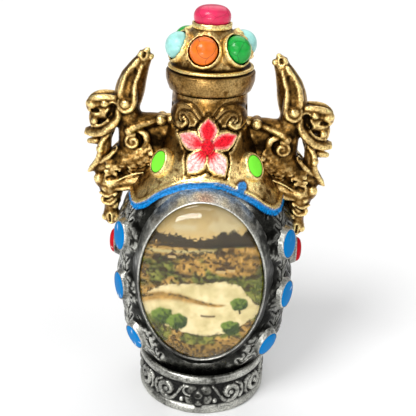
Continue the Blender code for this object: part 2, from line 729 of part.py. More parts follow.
def stopper():
    plug_radius = BORE_RADIUS - FIT_GAP
    soft = 0.6 * MM
    brim_z = STOPPER_Z + FLANGE_HEIGHT
    profile = (
        (0, COLLAR_TOP_Z),
        (COLLAR_RADIUS, COLLAR_TOP_Z),
        (COLLAR_RADIUS, COLLAR_Z),
        (DOME_FOOT_RADIUS, DOME_Z),
        (BRIM_RADIUS, brim_z + 0.3 * BRIM_HEIGHT),
        (BRIM_RADIUS - soft / 2, brim_z),
        (FLANGE_RADIUS, brim_z - soft),
        (FLANGE_RADIUS, brim_z - 0.45 * FLANGE_HEIGHT),
        (FLANGE_RADIUS - soft, brim_z - 0.7 * FLANGE_HEIGHT),
        (FLANGE_RADIUS - 1.5 * soft, STOPPER_Z),
        (plug_radius, STOPPER_Z),
        (plug_radius, STOPPER_Z - PLUG_LENGTH + soft),
        (plug_radius - soft, STOPPER_Z - PLUG_LENGTH),
        (0, STOPPER_Z - PLUG_LENGTH),
    )
    cap = turned("stopper", profile, STOPPER_SIDES)
    cup_radius = STONE_RADIUS + FIT_GAP + CUP_WALL
    cups = [
        loft("cup", stone_rings(k, ((cup_radius, -2.5 * MM), (cup_radius, CUP_HEIGHT))))
        for k in range(STONE_COUNT)
    ]
    seat_radius = STONE_RADIUS + FIT_GAP
    seats = [
        loft("seat", stone_rings(k, ((seat_radius, CUP_HEIGHT - SEAT_DEPTH), (seat_radius, CUP_HEIGHT + MM))))
        for k in range(STONE_COUNT)
    ]
    top_seat_radius = COLLAR_RADIUS - CUP_WALL
    top_seat = turned("top_seat", (
        (0, COLLAR_TOP_Z + MM),
        (top_seat_radius, COLLAR_TOP_Z + MM),
        (top_seat_radius, COLLAR_TOP_Z - TOP_SEAT_DEPTH),
        (0, COLLAR_TOP_Z - TOP_SEAT_DEPTH),
    ), STONE_SIDES)
    cap = united(cap, cups)
    return finish_piece(cut(cap, seats + [top_seat]), "antique_gold")


def stopper_stone(k, colour):
    base = CUP_HEIGHT - SEAT_DEPTH + FIT_GAP
    stations = [(STONE_RADIUS, base), (STONE_RADIUS, CUP_HEIGHT)]
    for share in (0.8, 0.4):
        stations.append((STONE_RADIUS * share, CUP_HEIGHT + STONE_RISE * (1.0 - share**2) ** 0.6))
    name = f"stopper_stone_{k + 1}_{colour}"
    return finish_piece(loft(name, stone_rings(k, stations)), colour + "_stone")


def top_stone():
    base = COLLAR_TOP_Z - TOP_SEAT_DEPTH + FIT_GAP
    foot = COLLAR_RADIUS - CUP_WALL - FIT_GAP
    above = COLLAR_TOP_Z + FIT_GAP
    rise = TOP_STONE_HEIGHT
    profile = (
        (0, above + rise),
        (0.45 * TOP_STONE_RADIUS, above + 0.95 * rise),
        (0.78 * TOP_STONE_RADIUS, above + 0.78 * rise),
        (TOP_STONE_RADIUS, above + 0.42 * rise),
        (0.94 * TOP_STONE_RADIUS, above + 0.1 * rise),
        (foot, above),
        (foot, base),
        (0, base),
    )
    return finish_piece(turned("top_stone_pink", profile, STONE_SIDES + 2), "pink_stone")


clear_scene()
PARTS = collection_named("snuff_bottle")
bottle_body()
beast_handle("left_beast_handle", LEFT)
beast_handle("right_beast_handle", RIGHT)
for face_name, face_side in (("front", FRONT), ("back", BACK)):
    picture(face_name + "_picture", face_side)
    glass_dome(face_name + "_glass_dome", face_side)
stopper()
for index, stone_colour in enumerate(("orange", "green", "cyan", "orange", "green", "cyan")):
    stopper_stone(index, stone_colour)
top_stone()
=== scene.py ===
"""Looks of the snuff bottle: relief, patina, enamel, picture, stones, glass, studio and camera."""

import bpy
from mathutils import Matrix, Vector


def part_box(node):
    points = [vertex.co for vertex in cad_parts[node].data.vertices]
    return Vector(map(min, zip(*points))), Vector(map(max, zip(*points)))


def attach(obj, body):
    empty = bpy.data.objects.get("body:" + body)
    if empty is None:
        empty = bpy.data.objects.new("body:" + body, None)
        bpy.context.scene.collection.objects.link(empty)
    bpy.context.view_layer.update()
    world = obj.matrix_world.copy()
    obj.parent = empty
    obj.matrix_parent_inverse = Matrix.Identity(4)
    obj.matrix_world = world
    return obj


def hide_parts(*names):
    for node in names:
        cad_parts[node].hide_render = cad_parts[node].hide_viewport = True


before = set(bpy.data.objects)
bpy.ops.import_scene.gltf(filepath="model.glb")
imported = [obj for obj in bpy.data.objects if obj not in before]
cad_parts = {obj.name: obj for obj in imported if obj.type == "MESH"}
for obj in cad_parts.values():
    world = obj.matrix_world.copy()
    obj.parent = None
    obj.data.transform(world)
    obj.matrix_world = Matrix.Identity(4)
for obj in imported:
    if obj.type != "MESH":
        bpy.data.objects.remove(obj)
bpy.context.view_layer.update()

import math

import bpy
import numpy as np
from mathutils import Matrix, Vector

TAU = 2 * math.pi
FRONT, BACK = -1, 1
LEFT, RIGHT = -1, 1

# Sizes of the solids, in millimetres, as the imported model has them
FOOT_RADIUS, FOOT_HEIGHT, FOOT_RIM, BAND_DEPTH, GROOVE_Z = 16.0, 10.8, 2.1, 0.8, 9.2
SEAT_WIDTH, SEAT_DEPTH, BODY_WIDTH, BODY_DEPTH, WIDEST_Z, SQUARENESS = 15.3, 13.3, 20.7, 14.0, 35.0, 2.4
NECK_Z, NECK_TOP, NECK_FOOT, NECK_RADIUS, BORE, WALL, FLOOR = 70.0, 77.0, 8.6, 8.25, 5.0, 2.2, 2.5
SHELL_STEP = 0.8
OVAL_Z, OVAL_HALF_X, OVAL_HALF_Z, LIP_X, LIP_Z, FRAME_Y, RECESS_Y = 35.9, 15.2, 22.1, 1.15, 2.0, 15.4, 13.3
# Swell of the body below and above its widest height: share of the way, of the width and of the depth
LOWER = np.array([(0, 0, 0), (0.07, 0.1, 0.2), (0.22, 0.46, 0.6), (0.42, 0.79, 0.88), (0.69, 0.96, 1),
                  (1, 1, 1)])
UPPER = np.array([(0, 0, 0), (0.14, 0.127, 0.06), (0.286, 0.341, 0.3), (0.43, 0.62, 0.7), (0.571, 0.88, 0.9),
                  (0.77, 0.985, 1), (1, 1, 1)])
# Height of the gold shell's wavy lower edge by degrees off the middle of a face
EDGE = np.array([(0, 59.0), (14, 58.5), (28, 57.0), (38, 55.4), (46, 53.3), (54, 52.1), (62, 52.2),
                 (76, 53.1), (90, 53.4)])
# Radius that turns an angle round the body's sides into an arc
ARC_RADIUS = 17.0
# A distance that stands for nowhere near
FAR = 9.0

# Colours of the finishes, linear: recess, face and rubbed edge
GOLD = np.array([(0.012, 0.006, 0.002), (0.20, 0.100, 0.022), (1.00, 0.72, 0.30)])
SILVER = np.array([(0.005, 0.005, 0.004), (0.038, 0.038, 0.033), (0.76, 0.76, 0.69)])
BLUE = np.array((0.0, 0.19, 0.52))
GREEN = np.array((0.20, 0.86, 0.05))
RED = np.array((0.72, 0.012, 0.025))
PINK = np.array((0.90, 0.45, 0.42))
PALE = np.array((0.95, 0.88, 0.82))
FLECK = np.array((0.8, 0.85, 0.85))


# Numbers

def ease(low, high, value):
    share = np.clip((value - low) / (high - low), 0.0, 1.0)
    return share * share * (3 - 2 * share)


def bell(value, width):
    return np.exp(-(value / width) ** 2)


def mix(a, b, share):
    """A blend of two colours, or of two for each point."""
    a = np.asarray(a)
    return a + (np.asarray(b) - a) * np.asarray(share)[..., None]


def lattice(cells, seed):
    """A repeatable number between 0 and 1 for each whole-numbered cell."""
    mixed = (cells[..., 0] * 374761393 + cells[..., 1] * 668265263 + cells[..., 2] * 2147483647
             + seed * 1274126177)
    mixed = (mixed ^ (mixed >> 13)) * 1274126177
    mixed = (mixed ^ (mixed >> 16)) & 0xFFFFFF
    return mixed / float(0xFFFFFF)


def noise(points, size, seed=0):
    """Smooth value noise between 0 and 1 over points, with features about that size."""
    scaled = np.asarray(points, dtype=np.float64) / size + 1000.0
    cell = np.floor(scaled).astype(np.int64)
    part = scaled - cell
    part = part * part * (3 - 2 * part)
    total = 0.0
    for corner in np.ndindex(2, 2, 2):
        weight = np.prod(np.abs(1 - np.array(corner) - part), axis=-1)
        total = total + weight * lattice(cell + np.array(corner), seed)
    return total


def clouds(points, size, seed=0, octaves=3):
    """Noise at several sizes, each half the one before."""
    total, weight, reach = 0.0, 0.0, 1.0
    for octave in range(octaves):
        total = total + reach * noise(points, size / 2**octave, seed + octave)
        weight += reach
        reach *= 0.55
    return total / weight


def through(table, at):
    """Smooth values along a table of stations (place, value, value...)."""
    at = np.clip(at, table[0, 0], table[-1, 0])
    k = np.clip(np.searchsorted(table[:, 0], at, side="right") - 1, 0, len(table) - 2)
    rows = np.arange(len(table))
    low, high = np.maximum(rows - 1, 0), np.minimum(rows + 1, len(table) - 1)
    slopes = (table[high, 1:] - table[low, 1:]) / (table[high, 0] - table[low, 0])[:, None]
    span = (table[k + 1, 0] - table[k, 0])[..., None]
    t = (at - table[k, 0])[..., None] / span
    return ((2 * t**3 - 3 * t**2 + 1) * table[k, 1:] + (t**3 - 2 * t**2 + t) * slopes[k] * span
            + (3 * t**2 - 2 * t**3) * table[k + 1, 1:] + (t**3 - t**2) * slopes[k + 1] * span)


def smooth_path(points, steps=8):
    """Points along a smooth curve through the given ones, with any further values carried along."""
    points = np.asarray(points, dtype=float)
    padded = np.vstack([2 * points[0] - points[1], points, 2 * points[-1] - points[-2]])
    rows = []
    for a, b, c, d in zip(padded, padded[1:], padded[2:], padded[3:]):
        for i in range(steps):
            t = i / steps
            rows.append(0.5 * (2 * b + (c - a) * t + (2 * a - 5 * b + 4 * c - d) * t**2
                               + (3 * b - a - 3 * c + d) * t**3))
    rows.append(points[-1])
    return np.array(rows)


def near_path(x, z, path):
    """Distance of each place from a path, and how far along it the nearest point is, from 0 to 1."""
    best = np.full(np.shape(x), 1e9)
    along = np.zeros(np.shape(x))
    count = len(path) - 1
    for i, (a, b) in enumerate(zip(path, path[1:])):
        ex, ez = b[0] - a[0], b[1] - a[1]
        t = np.clip(((x - a[0]) * ex + (z - a[1]) * ez) / max(ex * ex + ez * ez, 1e-9), 0, 1)
        reach = np.hypot(x - a[0] - t * ex, z - a[1] - t * ez)
        closer = reach < best
        best = np.where(closer, reach, best)
        along = np.where(closer, (i + t) / count, along)
    return best, along


# Meshes and finishes

def grid_faces(rows, columns):
    """Four-sided faces of a grid of points that closes on itself round its columns."""
    i, j = np.meshgrid(np.arange(rows - 1), np.arange(columns), indexing="ij")
    k = (j + 1) % columns
    here, above = i * columns, (i + 1) * columns
    return np.stack([here + j, here + k, above + k, above + j], -1).reshape(-1, 4)


def grid_normals(points):
    """Outward unit normals of a grid of points [row, column], rows going up and columns round."""
    around = np.roll(points, -1, 1) - np.roll(points, 1, 1)
    up = np.gradient(points, axis=0)
    normal = np.cross(around, up)
    return normal / np.maximum(np.linalg.norm(normal, axis=-1, keepdims=True), 1e-9)


def round_turns(columns):
    return (np.arange(columns) + 0.5) * TAU / columns


def turned(radius, height, turn):
    """Points at radii and heights round the axis."""
    return np.stack([radius * np.cos(turn), radius * np.sin(turn), height], -1)


def ring_at(frame_at, half, out, turn):
    """A ring with two half sizes round a place, standing out from it."""
    here, normal, level, up = frame_at
    spread = level * (half[0] * np.cos(turn))[:, None] + up * (half[1] * np.sin(turn))[:, None]
    return here + spread + normal * np.reshape(out, (-1, 1))


def mesh_of(name, *grids):
    """One smooth mesh in metres from closed grids of points in millimetres."""
    points, faces, start = [], [], 0
    for grid in grids:
        points.append(grid.reshape(-1, 3))
        faces.append(grid_faces(*grid.shape[:2]) + start)
        start += len(points[-1])
    points, faces = np.vstack(points).astype(np.float32) * 0.001, np.vstack(faces)
    mesh = bpy.data.meshes.new(name)
    mesh.vertices.add(len(points))
    mesh.vertices.foreach_set("co", points.ravel())
    mesh.loops.add(faces.size)
    mesh.loops.foreach_set("vertex_index", faces.ravel().astype(np.int32))
    mesh.polygons.add(len(faces))
    mesh.polygons.foreach_set("loop_start", np.arange(0, faces.size, 4, dtype=np.int32))
    mesh.update(calc_edges=True)
    mesh.validate()
    mesh.shade_smooth()
    return mesh


def face_out(mesh, face, part=slice(None)):
    """Turns the faces over if the points of a part of the mesh look into their side."""
    _, normals = read_points(mesh)
    if normals[part, 1].mean() * face < 0:
        mesh.flip_normals()


def place(name, mesh, material, slot, *nodes):
    """Shows a mesh as a named piece of the dressed part, in place of nodes of the CAD model."""
    obj = bpy.data.objects.new(name, mesh)
    bpy.context.scene.collection.objects.link(obj)
    mesh.materials.clear()
    mesh.materials.append(material)
    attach(obj, "root")
    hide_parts(*nodes)


def read_points(mesh):
    """Points in millimetres and their normals."""
    points = np.empty(len(mesh.vertices) * 3, np.float32)
    mesh.vertices.foreach_get("co", points)
    normals = np.empty(len(mesh.vertices) * 3, np.float32)
    mesh.vertices.foreach_get("normal", normals)
    return points.reshape(-1, 3).astype(float) * 1000, normals.reshape(-1, 3).astype(float)


def write_points(mesh, points):
    mesh.vertices.foreach_set("co", (points * 0.001).astype(np.float32).ravel())
    mesh.update()


def edge_ends(mesh):
    """Both ends of every edge, and how many edges meet at each point."""
    ends = np.empty(len(mesh.edges) * 2, np.int32)
    mesh.edges.foreach_get("vertices", ends)
    a, b = ends[::2], ends[1::2]
    count = np.bincount(a, minlength=len(mesh.vertices)) + np.bincount(b, minlength=len(mesh.vertices))
    return a, b, np.maximum(count, 1)[:, None]


def neighbour_mean(points, a, b, count):
    total = [np.bincount(a, points[b, i], len(points)) + np.bincount(b, points[a, i], len(points))
             for i in range(3)]
    return np.stack(total, 1) / count


def relax(mesh, rounds):
    """Draws each point half way to the mean of its neighbours, some rounds over."""
    points, _ = read_points(mesh)
    ends = edge_ends(mesh)
    for _ in range(rounds):
        points = points + 0.5 * (neighbour_mean(points, *ends) - points)
    write_points(mesh, points)


def hollowness(mesh, rounds=(4, 24), reach=(0.05, 0.30)):
    """From -1 on sharp crests to 1 in deep recesses, at a fine and a broad scale together."""
    points, normals = read_points(mesh)
    ends = edge_ends(mesh)
    soft, done, levels = points.copy(), 0, []
    for target, scale in zip(rounds, reach):
        while done < target:
            soft = 0.3 * soft + 0.7 * neighbour_mean(soft, *ends)
            done += 1
        levels.append(np.clip(((soft - points) * normals).sum(1) / scale, -1.5, 1.5))
    return np.clip(0.55 * levels[0] + 0.75 * levels[1], -1, 1)


def metal_tint(finish, hollow):
    """Colour of a finish, from its rubbed edges where hollow is -1 to its recesses where it is 1."""
    light = np.clip(-hollow, 0, 1)[:, None]
    dark = np.clip(hollow, 0, 1)[:, None]
    tint = finish[1] + (finish[2] - finish[1]) * light**1.3
    return tint + (finish[0] - tint) * dark**0.7


def paint(mesh, tint, metallic, roughness):
    """Stores the base colour and the metallic and roughness shares on the points."""
    count = len(mesh.vertices)
    kind = np.stack([np.broadcast_to(share, count) for share in (metallic, roughness, 0.0)], 1)
    for name, values in (("tint", np.broadcast_to(tint, (count, 3))), ("kind", kind)):
        layer = mesh.color_attributes.new(name, "FLOAT_COLOR", "POINT")
        with_alpha = np.hstack([values, np.ones((count, 1))])
        layer.data.foreach_set("color", with_alpha.astype(np.float32).ravel())


def antique(mesh, finish, seed, wear_and_light, speckle):
    """Paints a bare metal mesh dark in its recesses and light on its crests, shifted all over by the fourth
    argument: wear and patina, with a painted highlight on the frames and painted shade on the handles.
    """
    points, _ = read_points(mesh)
    hollow = hollowness(mesh)
    haze = clouds(points, 5.0, seed) - 0.5
    spots = ease(0.62, 0.8, clouds(points, 0.9, seed + 7, 2)) * speckle
    hollow = np.clip(1.2 * hollow + 0.9 * haze + spots - wear_and_light, -1, 1)
    paint(mesh, metal_tint(finish, hollow), 1.0, 0.27 + 0.22 * np.clip(hollow, 0, 1))


# Body outline

def section(z):
    """Half width, half depth and squareness of the body at heights."""
    low = through(LOWER, (z - GROOVE_Z) / (WIDEST_Z - GROOVE_Z))
    high = through(UPPER, (NECK_Z - z) / (NECK_Z - WIDEST_Z))
    below = z < WIDEST_Z
    width = np.where(below, SEAT_WIDTH + (BODY_WIDTH - SEAT_WIDTH) * low[..., 0],
                     NECK_FOOT + (BODY_WIDTH - NECK_FOOT) * high[..., 0])
    depth = np.where(below, SEAT_DEPTH + (BODY_DEPTH - SEAT_DEPTH) * low[..., 1],
                     NECK_FOOT + (BODY_DEPTH - NECK_FOOT) * high[..., 1])
    square = 2 + (SQUARENESS - 2) * np.where(below, low[..., 0], high[..., 0])
    neck = NECK_FOOT + (NECK_RADIUS - NECK_FOOT) * np.clip((z - NECK_Z) / (NECK_TOP - NECK_Z), 0, 1)
    on_neck = z >= NECK_Z
    return np.where(on_neck, neck, width), np.where(on_neck, neck, depth), np.where(on_neck, 2.0, square)


def shell_edge(turn):
    """Height of the gold shell's wavy lower edge round the body."""
    off = np.degrees(np.arctan2(np.abs(np.cos(turn)), np.abs(np.sin(turn))))
    return through(EDGE, off)[..., 0]


def section_point(turn, z, width, depth, square):
    cosine, sine = np.cos(turn), np.sin(turn)
    return np.stack([width * np.sign(cosine) * np.abs(cosine) ** (2 / square),
                     depth * np.sign(sine) * np.abs(sine) ** (2 / square), z], -1)


def body_base(turn, z):
    width, depth, square = section(z)
    edge = shell_edge(turn)
    lift = SHELL_STEP * ease(-0.25, 0.25, z - edge) * np.clip(1 - (z - edge) / (NECK_Z - edge), 0, 1)
    return section_point(turn, z, width + lift, depth + lift, square)


def face_turn(x, z, face):
    width, _, square = section(np.array([z]))
    share = min(abs(x) / (width[0] + 0.5 * (z > 59)), 1.0)
    turn = math.acos(share ** (square[0] / 2))
    return (math.pi - turn if x < 0 else turn) * face


def body_frame(turn, z):
    """Point, outward normal, level and upward directions of the body's outside."""
    def at(t, h):
        return body_base(np.array([t]), np.array([h]))[0]
    here = at(turn, z)
    around = at(turn + 0.01, z) - at(turn - 0.01, z)
    up = at(turn, z + 0.3) - at(turn, z - 0.3)
    normal = np.cross(around, up)
    normal /= np.linalg.norm(normal)
    level = np.array([-math.sin(turn), math.cos(turn), 0.0])
    level -= normal * level.dot(normal)
    level /= np.linalg.norm(level)
    return here, normal, level, np.cross(normal, level)


# Relief of the body

PETAL_CENTRE = (0.2, 66.5)
PETAL_TIPS = ((0.2, 73.3), (-6.0, 68.7), (6.3, 68.9), (-3.9, 60.6), (4.2, 60.4))
PETAL_SHAPE = np.array([(0.0, 0.3), (0.12, 0.42), (0.36, 0.84), (0.56, 1.0), (0.76, 0.74), (0.92, 0.28),
                        (1.0, 0.02)])
PETAL_HALF = 2.35
BOSS_HALF = (1.35, 1.7)
CURL = ((1.5, 72.4), (3.6, 74.7), (6.0, 74.6), (7.4, 72.9), (7.3, 70.8), (5.9, 70.3), (4.8, 71.3),
        (5.5, 72.2))
# Blue knob at the right end of the wavy line
KNOB = (7.9, 58.1)
BLUE_STUDS = ((18.6, 43.6), (19.0, 30.2), (15.4, 17.6))


def petal_gap(x, z):
    """How far each place lies outside the flower's petals (less than nothing inside), and in which petal."""
    best, which = np.full(x.shape, 9.0), np.zeros(x.shape)
    for k, (tip_x, tip_z) in enumerate(PETAL_TIPS):
        ex, ez = tip_x - PETAL_CENTRE[0], tip_z - PETAL_CENTRE[1]
        length = math.hypot(ex, ez)
        u = ((x - PETAL_CENTRE[0]) * ex + (z - PETAL_CENTRE[1]) * ez) / length**2
        v = np.abs((x - PETAL_CENTRE[0]) * ez - (z - PETAL_CENTRE[1]) * ex) / length
        half = PETAL_HALF * np.interp(u, PETAL_SHAPE[:, 0], PETAL_SHAPE[:, 1])
        gap = np.where(u > 1, np.hypot(v, (u - 1) * length), v - half)
        gap = np.where(u < 0, np.hypot(v, u * length), gap)
        which = np.where(gap < best, k, which)
        best = np.minimum(best, gap)
    return best, which


def stroke_set():
    """Engraved herringbone on the body's sides: strokes as (arc angle, height, dx, dz)."""
    state = np.random.RandomState(11)
    strokes = []
    for turn_side in (0.0, math.pi):
        for angle in (-52, -30, -10, 10, 30, 52):
            spine = turn_side + math.radians(angle)
            for z in np.arange(13.0, 53.0, 3.1):
                rise = state.uniform(0.85, 1.35)
                lower = z + state.uniform(-0.3, 0.3)
                for side in (LEFT, RIGHT):
                    reach = state.uniform(1.0, 1.5)
                    strokes.append((spine + side * reach / ARC_RADIUS, lower, reach * 0.85, side * rise))
                strokes.append((spine, z + 0.6, state.uniform(-0.1, 0.1), 0.8))
    return strokes


def edge_distance(turn, z, base):
    """How far each place lies above the shell's edge, square to it, wavering a little."""
    edge = shell_edge(turn)
    step = np.linalg.norm(np.roll(base, -1, 1) - base, axis=-1)
    slope = np.gradient(edge, axis=1) / np.maximum(step, 0.05)
    waver = 0.12 * np.sin(turn * 9 + 1) * ease(0.3, 0.6, noise(base, 6.0, 8))
    return (z - edge) / np.sqrt(1 + slope**2) - waver


def blue_line(turn, base, from_edge):
    """Share of blue enamel on the wavy line and its knob, and the knob's share alone."""
    x, z = base[..., 0], base[..., 2]
    # Where the blue enamel is worn thin, in patches along a wavy band right of the middle
    wear_and_light = bell(from_edge + 0.2 + 0.14 * np.sin(turn * 23), 0.13) * ease(0.42, 0.6, noise(base, 3.0, 3))
    blue = ease(-1.2, -1.05, from_edge) * ease(0.47, 0.33, from_edge) * (1 - 0.8 * wear_and_light * (x > 2))
    knob = ease(1.15, 0.95, np.hypot(x - KNOB[0], z - KNOB[1])) * (base[..., 1] < 0)
    return np.maximum(blue, knob), knob


def flower_places(base):
    """Gap to the petals, which petal is nearest, distance from the boss and the veins, on the front."""
    x, z = base[..., 0], base[..., 2]
    front = base[..., 1] < 0
    gap, which = petal_gap(x, z)
    boss = np.hypot((x - PETAL_CENTRE[0]) / BOSS_HALF[0], (z - PETAL_CENTRE[1] - 0.1) / BOSS_HALF[1])
    veins = np.sin(np.arctan2(z - PETAL_CENTRE[1], x - PETAL_CENTRE[0]) * 26 + 3 * noise(base, 1.5, 5))
    return np.where(front, gap, FAR), which, np.where(front, boss, FAR), veins


def flower_relief(base, gap, boss, veins):
    """Height of the petals, the boss and the curl on each side of them."""
    height = 0.6 * ease(0.3, -0.3, gap) + 0.2 * bell(gap + 0.25, 0.28) - 0.4 * bell(gap - 0.5, 0.28)
    height = height + 0.8 * np.sqrt(np.clip(1 - boss**2, 0, 1)) - 0.15 * bell(boss - 1.12, 0.1)
    height = height + 0.06 * veins * ease(-0.4, -0.8, gap)
    for side in (LEFT, RIGHT):
        reach, along = near_path(side * base[..., 0], base[..., 2], smooth_path(CURL))
        reach = np.where(base[..., 1] < 0, reach, FAR)
        half = 0.25 + 0.6 * np.sin(np.clip(along * 1.15, 0, 1) * math.pi) ** 0.8
        height = height + 0.3 * ease(half + 0.1, half - 0.3, reach) - 0.42 * bell(reach - half - 0.28, 0.22)
    return height


def flower_colour(gap, which, boss, veins):
    """Colour of the flower's red and pink enamel, and where it lies."""
    upper = which < 2.5
    streak = 0.5 + 0.5 * veins
    rim_pink = ease(-1.3, -0.55, gap) * 0.8
    red = np.where(upper, 1 - rim_pink * (0.4 + 0.6 * streak),
                   ease(2.6, 1.2, boss) + 0.55 * ease(0.6, 0.9, streak))
    red = np.clip(red - 0.65 * (which == 1) * ease(1.6, 3.0, boss) * (0.5 + 0.5 * streak), 0, 1)
    colour = mix(mix(PINK, RED, red), PALE, np.where(upper, 0.0, 0.5 * (1 - red)))
    colour = np.where((boss < 1.0)[..., None], RED * 0.85, colour)
    petals = ease(-0.42, -0.6, gap) * ease(-0.05, 0.1, boss - 0.9)
    return colour, np.maximum(petals, ease(1.0, 0.9, boss))


def engrave(height, turn, z, share):
    """Cuts the herringbone strokes, in full where the share is 1."""
    for stroke_turn, stroke_z, dx, dz in stroke_set():
        arc = (np.mod(turn - stroke_turn + math.pi, TAU) - math.pi) * ARC_RADIUS
        near = (np.abs(z - stroke_z) < 2.8) & (np.abs(arc) < 3.0)
        ends = np.array([(-dx, stroke_z - dz), (dx, stroke_z + dz)])
        reach, _ = near_path(arc[near], z[near], ends)
        height[near] -= 0.40 * bell(reach, 0.25) * share[near]


def stud_swell(base):
    """Lumpy rise of the body round the blue studs of both faces."""
    lumpy = 0.7 + 0.6 * clouds(base, 1.3, 25, 2)
    total = np.zeros(lumpy.shape)
    for side in (LEFT, RIGHT):
        for stud_x, stud_z in BLUE_STUDS:
            reach = np.hypot((base[..., 0] - side * stud_x) * 0.75, base[..., 2] - stud_z) / 4.6
            total = total + 0.55 * ease(1.1, 0.6, reach) * lumpy
    return total


def inside_rings(turn):
    """The mouth's rim, the bore, the cavity and its floor, from the top down."""
    sizes = [(NECK_TOP, NECK_RADIUS - 0.5, NECK_RADIUS - 0.5, 2.0), (NECK_TOP, BORE + 0.5, BORE + 0.5, 2.0),
             (NECK_TOP - 0.5, BORE, BORE, 2.0), (NECK_Z + WALL, BORE, BORE, 2.0)]
    for z in np.linspace(NECK_Z - WALL, GROOVE_Z, 16):
        width, depth, square = (value[0] for value in section(np.array([z])))
        sizes.append((z, max(width - WALL, BORE), max(depth - WALL, BORE), square))
    sizes += [(FLOOR, SEAT_WIDTH - WALL, SEAT_DEPTH - WALL, 2.0), (FLOOR, 0.01, 0.01, 2.0)]
    return np.array([section_point(turn, np.full(turn.shape, z), *size) for z, *size in sizes])


def body_patina_and_light(flat, hollow):
    """How dark the body's gold and silver are at each point, from -1 to 1: patina in the hollows, darker up
    the neck and at the shoulders' sides, lighter near the foot, painted highlights on the lower gold shell
    and the silver arch over the oval, and painted shade on the silver's right side.
    """
    x, z = flat[:, 0], flat[:, 2]
    off = np.abs(x)
    haze = clouds(flat, 5.0, 40) - 0.5
    spots = ease(0.55, 0.8, clouds(flat, 1.0, 47, 2))
    neck_dark = 0.35 * ease(62.0, 68.0, z) + 0.45 * ease(70.0, 75.0, z)
    neck_dark = neck_dark + 0.35 * ease(9.0, 14.0, off) * ease(58.0, 62.0, z)
    # Painted highlight on the lower part of the gold shell, most near the middle of each face
    painted_shell_highlight = np.maximum(0.85 * ease(64.5, 61.0, z) * ease(16.0, 10.0, off), 0.45 * ease(58.0, 55.0, z))
    gold = np.clip(hollow * 1.3 + 1.5 * haze + 0.95 * spots - 0.10 + neck_dark - painted_shell_highlight, -1, 1)
    gold = gold + (np.clip(0.5 * gold, -0.25, 0.6) - gold) * ease(71.0, 73.5, z)
    # The silver over the top of the oval, which takes a painted highlight
    painted_arch_highlight = ease(50.0, 56.0, z) * ease(15.0, 9.0, off)
    silver = np.clip(hollow * 2.3, -1.25, 0.85) * ease(9.5, 14.0, z) + 0.9 * haze * (1 - 0.6 * painted_arch_highlight)
    # Painted highlight on that arch, and painted shade darkening the right side of the silver
    silver = silver + 0.3 * spots + 0.58 - 1.6 * painted_arch_highlight + 0.35 * ease(8.0, 16.0, x) * (1 - painted_arch_highlight)
    return gold, np.clip(silver - 0.6 * ease(16.0, 11.0, z), -1, 1)


def body_piece():
    rows, columns = 240, 360
    turn = np.broadcast_to(round_turns(columns), (rows, columns))
    z = np.broadcast_to(np.linspace(GROOVE_Z + 0.2, NECK_TOP, rows)[:, None], (rows, columns))
    base = body_base(turn, z)
    from_edge = edge_distance(turn, z, base)
    gold = ease(0.3, 0.45, from_edge)
    blue, knob = blue_line(turn, base, from_edge)
    gap, which, boss, veins = flower_places(base)
    in_oval = np.hypot(base[..., 0] / OVAL_HALF_X, (z - OVAL_Z) / OVAL_HALF_Z)
    height = 0.22 * bell(from_edge - 0.8, 0.35) + 0.25 * bell(from_edge + 0.35, 0.65) + 0.35 * knob * gold
    height = height + flower_relief(base, gap, boss, veins)
    engrave(height, turn, z, (1 - gold) * ease(1.10, 1.18, in_oval))
    lumps = clouds(base, 2.4, 21, 2) - 0.5
    height = height + lumps * (0.22 * (1 - gold) * ease(1.02, 1.2, in_oval) + 0.14 * gold) + stud_swell(base)
    points = base + grid_normals(base) * height[..., None]
    # Inside the oval the body is pressed flat under the picture
    floor_y = RECESS_Y - 0.4
    pressed = ease(1.0, 0.965, in_oval) * (np.abs(points[..., 1]) > floor_y)
    points[..., 1] += (np.sign(base[..., 1]) * floor_y - points[..., 1]) * pressed
    seat = points[0] * np.array([0.86, 0.86, 1.0])
    seat[:, 2] = GROOVE_Z - 0.1
    everything = np.concatenate([seat[None], points, inside_rings(turn[0])])
    mesh = mesh_of("bottle_casting", everything)

    def spread(values, inside=0.0):
        """Values of the outside for every point, with nothing on the seat and one value inside."""
        full = np.zeros(everything.shape[:2] + values.shape[2:])
        full[1:rows + 1] = values
        full[rows + 1:] = inside
        return full.reshape((-1,) + values.shape[2:])

    hollow = hollowness(mesh, (4, 26), (0.045, 0.32))
    gold_patina_and_light, silver_patina_and_light = body_patina_and_light(everything.reshape(-1, 3), hollow)
    zone = spread(gold, 1.0)
    under_line = spread(0.9 * bell(from_edge - 0.45, 0.1) - 0.7 * bell(from_edge - 0.85, 0.3))
    gold_tint = metal_tint(GOLD, np.clip(gold_patina_and_light + under_line, -1, 1))
    tint = mix(metal_tint(SILVER, silver_patina_and_light), gold_tint, zone)
    petals, flower = flower_colour(gap, which, boss, veins)
    clouded_blue = BLUE * (0.8 + 0.4 * noise(base, 1.2, 9))[..., None]
    enamel = spread(np.where((flower > 0.01)[..., None], petals, clouded_blue))
    cover = spread(np.maximum(0.96 * blue, flower))
    rough = 0.20 + 0.2 * np.clip(np.where(zone > 0.5, gold_patina_and_light, silver_patina_and_light), 0, 1)
    paint(mesh, mix(tint, enamel, cover), 1 - cover, rough * (1 - cover) + 0.18 * cover)
    place("bottle_casting", mesh, METAL, "antique_silver", "bottle_body")


# Foot

